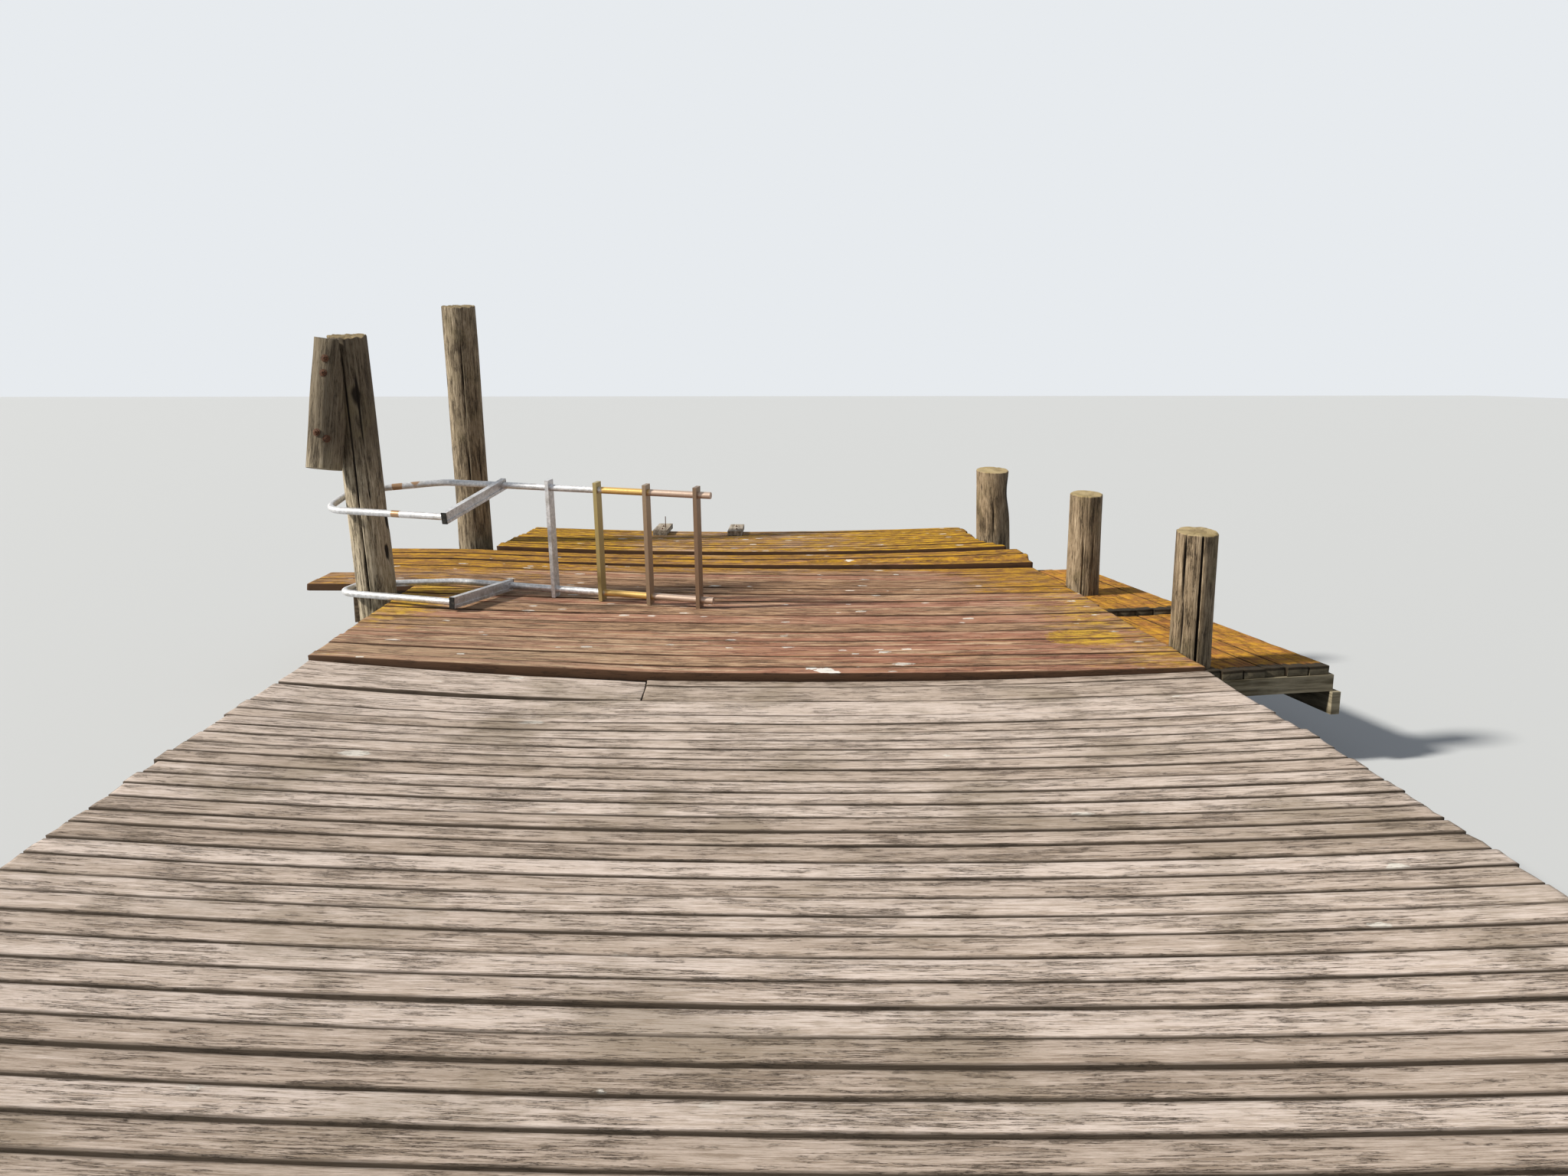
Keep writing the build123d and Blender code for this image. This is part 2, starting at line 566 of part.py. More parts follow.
def wing_slab(start, end, top):
    corners = [
        wing_place(WING_BOARD_INSET, start),
        wing_place(WING_WIDTH, start),
        wing_place(WING_WIDTH, end),
        wing_place(WING_BOARD_INSET, end),
    ]
    plan = make_face(Polyline(*corners, close=True))
    slab = Pos(0, 0, top - BOARD_THICK) * extrude(plan, amount=BOARD_THICK, dir=(0, 0, 1))
    under_deck = Pos(HALF_DECK + WING_EDGE_GAP - TALL / 2, 0, 0) * Box(TALL, 8 * TALL, TALL)
    slab -= under_deck
    slab -= pile_notch(MIDDLE_RIGHT_PILE, MIDDLE_RIGHT_DIAMETER)
    slab -= pile_notch(NEAR_RIGHT_PILE, NEAR_RIGHT_DIAMETER)
    return slab


def wing_bar(along, top, foot, start_x):
    """A bearer across the wing, from the inner runner to the outer edge."""
    turn = math.tan(math.radians(WING_TURN))
    end = wing_place(0, along)
    near = end[1] - (end[0] - start_x) * turn
    corners = [
        (start_x, near),
        end,
        (end[0], end[1] + WING_BEARER_WIDTH),
        (start_x, near + WING_BEARER_WIDTH),
    ]
    plan = make_face(Polyline(*corners, close=True))
    return Pos(0, 0, foot) * extrude(plan, amount=top - foot, dir=(0, 0, 1))


def wing_parts():
    near_deck = wing_slab(0, WING_STEP, DECK_TOP - WING_DROP)
    far_deck = wing_slab(WING_STEP, WING_LENGTH, DECK_TOP - WING_FAR_DROP)
    bearer_foot = DECK_TOP - WING_BEARER_FOOT
    runner_foot = bearer_foot - SEAT_GAP - WING_RUNNER_DEPTH
    inner_x = MIDDLE_RIGHT_PILE[0] + SEAT_GAP
    inner_x += pile_radius(MIDDLE_RIGHT_DIAMETER, LOW_PILE_HEIGHT, runner_foot)
    near_top = DECK_TOP - WING_DROP - BOARD_THICK - SEAT_GAP
    far_top = DECK_TOP - WING_FAR_DROP - BOARD_THICK - SEAT_GAP
    fascia = wing_bar(0, near_top, bearer_foot, inner_x)
    near_places = (WING_STEP / 2, WING_STEP - WING_STEP_BEARER_BACK)
    far_places = (
        WING_STEP + WING_STEP_BEARER_ON,
        (WING_STEP + WING_LENGTH) / 2,
        WING_LENGTH - WING_END_BEARER_BACK,
    )
    near_bars = [wing_bar(along, near_top, bearer_foot, inner_x) for along in near_places]
    far_bars = [wing_bar(along, far_top, bearer_foot, inner_x) for along in far_places]
    outer_face = -WING_RUNNER_OUT
    inner_face = WING_RUNNER_WIDTH - WING_RUNNER_OUT
    outer = [
        wing_place(outer_face, -WING_RUNNER_OVERRUN),
        wing_place(outer_face, WING_LENGTH),
        wing_place(inner_face, WING_LENGTH),
        wing_place(inner_face, -WING_RUNNER_OVERRUN),
    ]
    outer_runner = Pos(0, 0, runner_foot) * extrude(
        make_face(Polyline(*outer, close=True)), amount=WING_RUNNER_DEPTH, dir=(0, 0, 1)
    )
    inner_near = WING_CORNER[1] - INNER_RUNNER_START
    inner_runner = Pos(inner_x, inner_near, runner_foot) * Box(
        WING_RUNNER_WIDTH, WING_LENGTH, WING_RUNNER_DEPTH, align=Align.MIN
    )
    pile_top = runner_foot - SEAT_GAP
    piles = []
    for along in (WING_PILE_BACK[0], WING_LENGTH - WING_PILE_BACK[1]):
        x, y = wing_place((outer_face + inner_face) / 2, along)
        piles.append(short_pile(x, y, pile_top, WING_PILE_DIAMETER))
    return {
        "wing_near_decking": near_deck,
        "wing_far_decking": far_deck,
        "wing_fascia": fascia,
        "wing_bearers": Compound(near_bars + far_bars),
        "wing_outer_runner": outer_runner,
        "wing_inner_runner": inner_runner,
        "wing_piles": Compound(piles),
    }


def rail(hoop):
    """A ladder side tube with its hoop, in the ladder's own plan, from foot to hoop end."""
    points = [(RAIL_LENGTH, 0), *hoop, HOOP_END]
    path = FilletPolyline(*points, radius=[NECK_RADIUS, HOOP_RADIUS, HOOP_RADIUS])
    return sweep(Plane(path @ 0, z_dir=path % 0) * Circle(TUBE_DIAMETER / 2), path)


def foot_bar():
    """The grooved bar that ties a hoop's end to its rail."""
    length = -HOOP_END[1] + 2 * FOOT_BAR_OVERRUN
    bar = Pos(0, HOOP_END[1] / 2, 0) * Box(FOOT_BAR_THICK, length, FOOT_BAR_HEIGHT)
    groove = Pos(FOOT_BAR_THICK / 2, HOOP_END[1] / 2, 0) * Box(
        2 * FOOT_BAR_GROOVE, length, FOOT_BAR_HEIGHT / 2
    )
    tube_hole = Rot(0, 90, 0) * Cylinder(TUBE_DIAMETER / 2 + SEAT_GAP, 8 * FOOT_BAR_THICK)
    end_hole = Pos(HOOP_END[0] - 4 * FOOT_BAR_THICK + HOOP_POCKET, HOOP_END[1], 0) * tube_hole
    return bar - groove - tube_hole - end_hole


def plugs():
    length = -HOOP_END[1] + 2 * FOOT_BAR_OVERRUN
    plug = Box(FOOT_BAR_THICK, PLUG_THICK, FOOT_BAR_HEIGHT)
    offset = (length + PLUG_THICK) / 2
    return [Pos(0, HOOP_END[1] / 2 - offset, 0) * plug, Pos(0, HOOP_END[1] / 2 + offset, 0) * plug]


def ladder_seat(swing, points):
    """Where the lower rail's foot-bar end must lie for the lowest of these points to touch the deck."""
    heights = []
    for point in points:
        spot = (swing * Pos(*point)).position
        deck = MAIN_BOW.drop(LADDER_PLACE[0] + spot.X, LADDER_PLACE[1] + spot.Y)
        heights.append(DECK_TOP + deck - spot.Z)
    return Pos(*LADDER_PLACE, max(heights) + SEAT_GAP) * swing


def ladder_parts():
    swing = Rot(0, 0, LADDER_TURN) * Rot(0, LADDER_DIP, 0) * Rot(LADDER_LEAN, 0, 0)
    places = [FIRST_RUNG + i * RUNG_PITCH for i in range(RUNG_COUNT)]
    feet = []
    for along in places:
        for half in (-RUNG_THICK / 2, RUNG_THICK / 2):
            feet += [(along + half, side, -RUNG_OVERRUN) for side in (-RUNG_DEPTH / 2, RUNG_DEPTH / 2)]
    lower = ladder_seat(swing, feet)
    upper = lower * Pos(0, 0, RAIL_SPACING)
    lower_hoop = lower * Rot(LOWER_HOOP_TWIST, 0, 0)
    upper_hoop = upper * Rot(UPPER_HOOP_TWIST, 0, 0)
    rung = Pos(0, 0, RAIL_SPACING / 2) * Box(RUNG_THICK, RUNG_DEPTH, RAIL_SPACING + 2 * RUNG_OVERRUN)
    for height in (0, RAIL_SPACING):
        rung -= Pos(0, 0, height) * Rot(0, 90, 0) * Cylinder(TUBE_DIAMETER / 2 + SEAT_GAP, 2 * RUNG_THICK)
    rungs = [lower * Pos(along, 0, 0) * rung for along in places]
    caps = [hoop * plug for hoop in (lower_hoop, upper_hoop) for plug in plugs()]
    return {
        "ladder_lower_rail": lower_hoop * rail(LOWER_HOOP),
        "ladder_upper_rail": upper_hoop * rail(UPPER_HOOP),
        "ladder_lower_foot_bar": lower_hoop * foot_bar(),
        "ladder_upper_foot_bar": upper_hoop * foot_bar(),
        "ladder_rungs": Compound(rungs),
        "foot_bar_plugs": Compound(caps),
    }


def block_parts():
    names = ("left_mooring_block", "right_mooring_block")
    blocks = {}
    for name, x in zip(names, BLOCK_X):
        swing = BLOCK_LENGTH * math.sin(math.radians(BOARD_SKEW))
        left = x - BLOCK_WIDTH / 2 - swing
        right = x + BLOCK_WIDTH / 2
        level = DECK_TOP + PLATFORM_RISE + max(PLATFORM_BOW.drop(left), PLATFORM_BOW.drop(right))
        end = board_y(PLATFORM_END_Y, x) + BLOCK_OVERHANG
        block = Box(BLOCK_WIDTH, BLOCK_LENGTH, BLOCK_THICK, align=(Align.CENTER, Align.MAX, Align.MIN))
        blocks[name] = Pos(x, end, level + SEAT_GAP) * Rot(0, 0, -BOARD_SKEW) * block
    return blocks


PARTS = {}
PARTS.update(landing_parts())
PARTS.update(main_parts())
PARTS.update(head_parts())
PARTS.update(head_beam_parts())
PARTS.update(header_parts())
PARTS.update(pile_parts())
PARTS.update(short_pile_parts())
PARTS.update(log_part())
PARTS.update(wing_parts())
PARTS.update(ladder_parts())
PARTS.update(block_parts())

os.makedirs("parts", exist_ok=True)
for name, solid in PARTS.items():
    export_step(solid, f"parts/{name}.step")
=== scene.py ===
# %% [markdown]
# # A wooden jetty, dressed from its CAD frame
# The real object is a home-made jetty of boards on round piles. Its shapes come from a CAD model, so this
# lesson works on what a CAD model leaves out: single boards, cracks, saw cuts, lichen and stains.
# First the CAD pieces are loaded.

# %% Load the frame
import math
import random

import bpy
from mathutils import Matrix, Vector, noise


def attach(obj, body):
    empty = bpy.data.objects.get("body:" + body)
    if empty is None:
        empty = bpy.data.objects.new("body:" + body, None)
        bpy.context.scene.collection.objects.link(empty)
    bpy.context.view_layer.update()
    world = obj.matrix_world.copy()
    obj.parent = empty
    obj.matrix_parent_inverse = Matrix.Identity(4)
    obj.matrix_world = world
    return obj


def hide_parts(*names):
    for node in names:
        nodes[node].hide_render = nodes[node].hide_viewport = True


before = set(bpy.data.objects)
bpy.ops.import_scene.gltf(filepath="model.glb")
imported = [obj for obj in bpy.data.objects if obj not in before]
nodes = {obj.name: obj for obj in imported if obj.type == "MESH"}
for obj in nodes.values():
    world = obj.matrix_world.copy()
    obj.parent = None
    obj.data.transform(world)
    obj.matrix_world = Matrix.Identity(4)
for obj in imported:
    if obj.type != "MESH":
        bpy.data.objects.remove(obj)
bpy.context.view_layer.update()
bpy.ops.object.select_all(action="DESELECT")
print("CAD pieces:", len(nodes))

# %% [markdown]
# ## Camera
# The view was taken standing on the shore end, 1.26 m above the boards, looking slightly down and a little
# to the right of the jetty's middle line. A lens of 26 mm on a 36 mm frame gives the same width of view.
# The angles could be found by eye, but the deck's straight edges and the horizon give them exactly. A
# camera looks along its own minus Z, so it is turned up by 90 degrees and then tilted down.

# %% Camera
LENS_MM = 26.37
FRAME_MM = 36.0
EYE_POINT = (-0.0697, -1.25, 1.864)
TILT_DOWN = 10.65
TURN_RIGHT = 2.63
camera = bpy.data.cameras.new("camera")
camera.lens = LENS_MM
camera.sensor_width = FRAME_MM
camera.clip_end = 500.0
eye = bpy.data.objects.new("camera", camera)
bpy.context.collection.objects.link(eye)
eye.location = EYE_POINT
eye.rotation_euler = (math.radians(90 - TILT_DOWN), 0, math.radians(-TURN_RIGHT))
bpy.context.scene.camera = eye
bpy.context.scene.view_settings.view_transform = "Standard"
print("camera at", tuple(round(v, 3) for v in eye.location))

# %% [markdown]
# ## Floor
# The piles stand on a plain pale floor, which is only a stage and no part of the jetty. A plane is enough,
# and it is so large that its far edge makes a level horizon. It looks pale through its own colour, so no
# extra light is needed on the jetty, and it still shows the jetty's shadow.

# %% Floor
FLOOR_SIZE = 120
FLOOR_CENTRE = (0, 30, 0)
bpy.ops.mesh.primitive_plane_add(size=FLOOR_SIZE, location=FLOOR_CENTRE)
floor = bpy.context.object
floor.name = "studio_floor"
bpy.ops.object.transform_apply(location=True, rotation=True, scale=True)
floor_paint = bpy.data.materials.new("studio_floor")
floor_paint.use_nodes = True
paint = floor_paint.node_tree.nodes["Principled BSDF"]
paint.inputs["Base Color"].default_value = (0.57, 0.59, 0.61, 1)
paint.inputs["Roughness"].default_value = 0.9
floor.data.materials.append(floor_paint)
print("floor", FLOOR_SIZE, "m wide")

# %% [markdown]
# ## Fill light and background
# The world does two jobs. It fills the shadows with weak bluish light, and it is the pale background that
# the camera sees. One strength can't do both, so the Light Path node picks: camera rays get the background,
# and so do the rays that metal or glass throws back or lets through. All other rays get the weak fill.

# %% Fill light and background
FILL_STRENGTH = 0.27
world = bpy.data.worlds.new("studio_world")
bpy.context.scene.world = world
world.use_nodes = True
backdrop = world.node_tree
backdrop.nodes["Background"].inputs["Color"].default_value = (0.86, 0.92, 1.0, 1)
backdrop.nodes["Background"].inputs["Strength"].default_value = FILL_STRENGTH
seen = backdrop.nodes.new("ShaderNodeBackground")
seen.inputs["Color"].default_value = (0.80, 0.83, 0.86, 1)
rays = backdrop.nodes.new("ShaderNodeLightPath")
factor = rays.outputs["Is Camera Ray"]
for kind in ("Is Glossy Ray", "Is Transmission Ray"):
    wider = backdrop.nodes.new("ShaderNodeMath")
    wider.operation = "MAXIMUM"
    backdrop.links.new(factor, wider.inputs[0])
    backdrop.links.new(rays.outputs[kind], wider.inputs[1])
    factor = wider.outputs[0]
either = backdrop.nodes.new("ShaderNodeMixShader")
backdrop.links.new(factor, either.inputs[0])
backdrop.links.new(backdrop.nodes["Background"].outputs[0], either.inputs[1])
backdrop.links.new(seen.outputs[0], either.inputs[2])
backdrop.links.new(either.outputs[0], backdrop.nodes["World Output"].inputs["Surface"])
print("fill strength", FILL_STRENGTH)

# %% [markdown]
# ## Sun
# The shadows of the ladder fall to the right and are a little soft, so the sun stands on the left. A sun
# lamp has parallel rays, and its angle sets how soft the shadow's edge is. An area lamp would fade along
# the eight metres of the deck, which daylight doesn't.

# %% Sun
SUN_STRENGTH = 5.35
SUN_SOFTNESS = math.radians(6)
bpy.ops.object.light_add(type="SUN", rotation=(math.radians(10), math.radians(-56), 0))
sun = bpy.context.object
sun.data.energy = SUN_STRENGTH
sun.data.angle = SUN_SOFTNESS
sun.data.color = (1.0, 0.95, 0.86)
bpy.ops.object.select_all(action="DESELECT")
print("sun strength", sun.data.energy)

# %% [markdown]
# ## Small helpers for shader nodes
# A weathered board is many layers: fine grain, long streaks, cracks, blotches, lichen and droppings. Each
# layer is a few nodes. They could be wired by hand in the editor, but dozens of layers repeat the same few
# moves, so these helpers add a node, mix two colours, and turn a noise value into a mask.

# %% Colours and nodes
def colour(red, green, blue):
    """A colour as a screen shows it, 0 to 255, turned into the shader's linear values."""
    linear = [((c / 255 + 0.055) / 1.055) ** 2.4 if c > 10 else c / 255 / 12.92 for c in (red, green, blue)]
    return (*linear, 1.0)


def add(tree, kind, inputs=None, **settings):
    """Add a node. An input is a plain value or another node's output."""
    made = tree.nodes.new(kind)
    for key, value in settings.items():
        setattr(made, key, value)
    for key, value in (inputs or {}).items():
        if isinstance(value, bpy.types.NodeSocket):
            tree.links.new(value, made.inputs[key])
        else:
            made.inputs[key].default_value = value
    return made


def mix(tree, share, under, over):
    """Lay one colour over another by a share from 0 to 1."""
    return add(tree, "ShaderNodeMix", {0: share, 6: under, 7: over}, data_type="RGBA").outputs[2]


def mask(tree, value, low, high):
    """0 where the value is under low, 1 where it is over high, and a soft step between."""
    inputs = {"Value": value, "From Min": low, "From Max": high}
    return add(tree, "ShaderNodeMapRange", inputs, interpolation_type="SMOOTHSTEP").outputs[0]


def math_node(tree, operation, first, second=0.0):
    return add(tree, "ShaderNodeMath", {0: first, 1: second}, operation=operation).outputs[0]


def times(tree, first, second):
    return math_node(tree, "MULTIPLY", first, second)


def plus(tree, first, second):
    return math_node(tree, "ADD", first, second)


def minus(tree, first, second):
    return math_node(tree, "SUBTRACT", first, second)


def attribute(tree, name, kind="Fac"):
    """A value, or with kind Vector a place, that a mesh carries on its points."""
    return add(tree, "ShaderNodeAttribute", attribute_name=name).outputs[kind]


print("silver grey is", [round(value, 3) for value in colour(199, 182, 169)])

# %% [markdown]
# ## Noise and the start of a material
# Wood, lichen and rust are all irregular in their own measure. Image textures would fix that measure, while
# a noise texture can be stretched: alike in all directions for lichen, twenty times longer than wide for
# wood fibre. Every finish starts and ends alike, so that is written once too.

# %% Noise and materials
WEATHERED_SHINE = 0.24


def noise_at(tree, place, scale, detail=6.0, roughness=0.6):
    """Noise that varies alike in all directions."""
    inputs = {"Vector": place, "Scale": scale, "Detail": detail, "Roughness": roughness}
    return add(tree, "ShaderNodeTexNoise", inputs).outputs[0]


def stretched_noise(tree, place, scale, detail=4.0, roughness=0.6):
    """Noise on a place vector with its own scale for each axis."""
    mapped = add(tree, "ShaderNodeMapping", {"Vector": place, "Scale": scale}).outputs[0]
    return noise_at(tree, mapped, 1.0, detail, roughness)


def start_material(name, roughness):
    """A material with its tree, its shader and the Object coordinates."""
    made = bpy.data.materials.new(name)
    made.use_nodes = True
    tree = made.node_tree
    shader = tree.nodes["Principled BSDF"]
    shader.inputs["Roughness"].default_value = roughness
    shader.inputs["Specular IOR Level"].default_value = WEATHERED_SHINE
    place = add(tree, "ShaderNodeTexCoord").outputs["Object"]
    return made, tree, shader, place


def dress(tree, shader, base, height, distance):
    """Give the shader its colour, and a bump that stands out by a distance in metres."""
    tree.links.new(base, shader.inputs["Base Color"])
    bump = add(tree, "ShaderNodeBump", {"Height": height, "Distance": distance})
    tree.links.new(bump.outputs[0], shader.inputs["Normal"])


print("shine of weathered surfaces:", WEATHERED_SHINE)

# %% [markdown]
# ## Bare wood that has stood outside for years
# Every timber here has the same build: grain that runs along the piece, paler and darker streaks, and thin
# dark cracks. The grain follows an attribute that each board carries (metres along, across and up the
# board), so no two boards continue each other's figure. A share called tone makes one board paler than
# the next.

# %% Wood layers
def wood_layers(tree, grain, tone, pale, middle, dark):
    """Colour, crack mask and height of weathered wood along the grain vector."""
    fibre = stretched_noise(tree, grain, (14.0, 300.0, 300.0), 5.0, 0.75)
    streak = stretched_noise(tree, grain, (4.0, 75.0, 75.0), 8.0, 0.78)
    patch = stretched_noise(tree, grain, (4.5, 14.0, 14.0), 8.0, 0.72)
    level = plus(tree, times(tree, streak, 0.42), times(tree, patch, 0.18))
    level = plus(tree, level, times(tree, fibre, 0.4))
    level = plus(tree, level, times(tree, minus(tree, tone, 0.5), 0.09))
    base = mix(tree, mask(tree, level, 0.41, 0.5), dark, middle)
    base = mix(tree, mask(tree, level, 0.5, 0.58), base, pale)
    base = mix(tree, times(tree, mask(tree, fibre, 0.47, 0.36), 0.65), base, dark)
    line = math_node(tree, "ABSOLUTE", minus(tree, streak, 0.47))
    crack = times(tree, mask(tree, line, 0.014, 0.004), mask(tree, patch, 0.53, 0.46))
    height = plus(tree, times(tree, fibre, 0.6), streak)
    height = minus(tree, height, times(tree, crack, 0.8))
    return base, crack, height


print("wood layers ready")

# %% [markdown]
# ## Lichen and droppings
# Lichen grows in crusts with a torn border, golden in some places and brown in others. Where it is thick
# the crusts meet, so one noise is raised by a share: the higher the share, the more of it passes the limit.
# Droppings are single blots, which noise can't give. A Voronoi texture has single cells, and only those
# whose random number is high enough get a blot.

# %% Lichen and droppings
def lichen_layer(tree, base, place, share, gold, brown):
    """Lichen in crusts that run a little along the boards, over a share of the surface."""
    along = add(tree, "ShaderNodeMapping", {"Vector": place, "Scale": (0.45, 1.0, 1.0)}).outputs[0]
    crust = noise_at(tree, along, 9.0, 9.0, 0.78)
    cover = mask(tree, plus(tree, crust, share), 0.92, 1.14)
    tint = mix(tree, mask(tree, noise_at(tree, along, 26.0, 6.0, 0.7), 0.42, 0.56), brown, gold)
    return mix(tree, cover, base, tint)


def dropping_layer(tree, base, place, scale, rarity, size):
    """White bird droppings: a few blots with torn borders."""
    torn = add(tree, "ShaderNodeTexNoise", {"Vector": place, "Scale": 45.0, "Detail": 3.0})
    inputs = {0: torn.outputs[1], 1: (0.07, 0.03, 0.0)}
    pushed = add(tree, "ShaderNodeVectorMath", inputs, operation="MULTIPLY").outputs[0]
    moved = add(tree, "ShaderNodeVectorMath", {0: place, 1: pushed}, operation="ADD").outputs[0]
    flat = add(tree, "ShaderNodeMapping", {"Vector": moved, "Scale": (0.6, 1.0, 1.0)}).outputs[0]
    cells = add(tree, "ShaderNodeTexVoronoi", {"Vector": flat, "Scale": scale, "Randomness": 1.0})
    chosen = add(tree, "ShaderNodeSeparateColor", {0: cells.outputs["Color"]})
    here = mask(tree, chosen.outputs[0], rarity, rarity + 0.01)
    reach = times(tree, chosen.outputs[1], size)
    near = minus(tree, reach, cells.outputs["Distance"])
    blot = times(tree, here, mask(tree, near, 0.0, 0.03))
    return mix(tree, times(tree, blot, 0.85), base, colour(236, 231, 222))


print("lichen and droppings ready")

# %% [markdown]
# ## Where on the jetty, and where on a board
# Some marks belong to one place: a patch, a worn corner, the far end. A spot is found by its distance from a
# centre and a region by one coordinate. Other marks belong to each board, as the painted shade on its sides
# does. They can't be found by place, so every board carries the distances from its top and from its long
# sides.

# %% Spots, regions and board sides
def spot(tree, place, centre, radius, torn):
    """A mask that is 1 at a centre and 0 beyond a radius, with a torn border."""
    away = add(tree, "ShaderNodeVectorMath", {0: place, 1: centre}, operation="DISTANCE").outputs["Value"]
    pushed = times(tree, noise_at(tree, place, 55.0, 3.0), radius * torn)
    far = plus(tree, away, minus(tree, pushed, radius * torn * 0.5))
    return mask(tree, far, radius, radius * 0.8)


ACROSS, ALONG, UP = 0, 1, 2


def region(tree, place, axis, low, high):
    """A mask that grows from low to high along one axis of the jetty."""
    split = add(tree, "ShaderNodeSeparateXYZ", {0: place})
    return mask(tree, split.outputs[axis], low, high)


def paint_gap_shade_and_dirt(tree, base, dark, share=0.7):
    """Painted shade on the board sides, and a dark strip on top along the gaps that is part dirt, part
    painted shade.

    The depth attribute is measured down from the board's top, and edge inwards from its long sides.
    """
    grain = attribute(tree, "grain", "Vector")
    edge = attribute(tree, "edge")
    uneven = stretched_noise(tree, grain, (9.0, 30.0, 30.0), 3.0)
    inside = plus(tree, edge, times(tree, uneven, -0.012))
    # The strip along the gaps is part dirt, part painted shade.
    dirt = minus(tree, 1.0, mask(tree, inside, -0.0035, 0.0035))
    base = mix(tree, times(tree, dirt, share), base, dark)
    depth = attribute(tree, "depth")
    # Painted shade: everything below the board's top is darkened.
    return mix(tree, times(tree, mask(tree, depth, 0.0005, 0.0035), 0.92), base, dark)


print("spots, regions and board sides ready")

# %% [markdown]
# ## Grey boards
# The landing is bare silver-grey wood: pale where the sun has bleached it, browner in damp blotches, with a
# trace of lichen and some droppings. A photograph of boards could be laid on it, but it would repeat and
# would carry its own shadows. Layers of noise give every board a figure of its own.

# %% Grey boards
BOARD_BUMP = 0.003


def start_boards(name, roughness=0.88):
    """A material for boards, with the grain and the tone that each board carries."""
    made, tree, shader, place = start_material(name, roughness)
    grain = attribute(tree, "grain", "Vector")
    tone = attribute(tree, "tone")
    return made, tree, shader, place, grain, tone


def grey_boards():
    made, tree, shader, place, grain, tone = start_boards("grey_boards")
    base, crack, height = wood_layers(
        tree, grain, tone, colour(229, 214, 205), colour(199, 182, 169), colour(160, 143, 128)
    )
    damp = noise_at(tree, place, 1.9)
    base = mix(tree, times(tree, mask(tree, damp, 0.5, 0.66), 0.5), base, colour(138, 124, 104))
    base = lichen_layer(tree, base, place, 0.27, colour(176, 164, 112), colour(158, 150, 112))
    base = dropping_layer(tree, base, place, 2.6, 0.45, 0.12)
    base = dropping_layer(tree, base, place, 6.5, 0.62, 0.14)
    base = mix(tree, crack, base, colour(84, 70, 58))
    # Painted shade on the board sides, and a strip along the gaps that is part dirt, part painted shade.
    base = paint_gap_shade_and_dirt(tree, base, colour(84, 73, 62))
    dress(tree, shader, base, height, BOARD_BUMP)
    return made


GREY = grey_boards()
print("landing finish:", GREY.name)

# %% [markdown]
# ## Faded stain
# Past the seam the boards were once stained red-brown. The stain has worn to grey-brown in long streaks and
# lasts best on the right. One even brown would hide that history. So the bare wood is made first, and the
# stain is laid over it through a mask that follows the grain. One function serves all stained decks.

# %% Stained wood
def add_shares(tree, start, *shares):
    """Sum of a start value and masks, each with its weight."""
    total = start
    for share, weight in shares:
        total = plus(tree, times(tree, share, weight), total)
    return total


def stained_wood(tree, place, grain, tone, redness):
    """The faded red-brown stain over grey-brown wood, stronger to the right."""
    base, crack, height = wood_layers(
        tree, grain, tone, colour(238, 212, 180), colour(186, 150, 119), colour(104, 76, 56)
    )
    stain_noise = stretched_noise(tree, grain, (1.6, 26.0, 26.0), 6.0, 0.7)
    level = plus(tree, stain_noise, times(tree, tone, 0.24))
    level = plus(tree, level, times(tree, region(tree, place, ACROSS, -1.0, 1.0), 0.05))
    stain = times(tree, mask(tree, level, 0.6, 0.72), redness)
    base = mix(tree, stain, base, colour(150, 86, 68))
    ochre = stretched_noise(tree, grain, (2.0, 34.0, 34.0), 5.0)
    base = mix(tree, times(tree, mask(tree, ochre, 0.56, 0.7), 0.5), base, colour(190, 152, 100))
    return base, crack, height


def finish_boards(made, tree, shader, parts):
    """Cracks, painted shade on the sides and along the gaps, and bump, the same for all stained boards."""
    base, crack, height, place = parts
    base = dropping_layer(tree, base, place, 3.4, 0.35, 0.14)
    base = dropping_layer(tree, base, place, 12.0, 0.5, 0.25)
    base = mix(tree, crack, base, colour(74, 52, 38))
    # Painted shade on the board sides, and a strip along the gaps that is part dirt, part painted shade.
    base = paint_gap_shade_and_dirt(tree, base, colour(76, 54, 38), 0.8)
    dress(tree, shader, base, height, BOARD_BUMP)
    return made


print("stain ready")

# %% [markdown]
# ## Main deck
# The stained deck is worn pale at the near left, just past the seam. Lichen has come in from the two long
# edges, with a golden patch at the near right, and a few thick white droppings lie in the middle.
# Each of these is a region of the jetty, so the masks read the place and not the single board.

# %% Main deck boards
NEAR_RIGHT_PATCH = (1.66, 4.19, 0.58)
WHITE_BLOTS = (((0.335, 3.66, 0.58), 0.05), ((0.37, 3.62, 0.58), 0.035), ((0.28, 3.7, 0.58), 0.03))


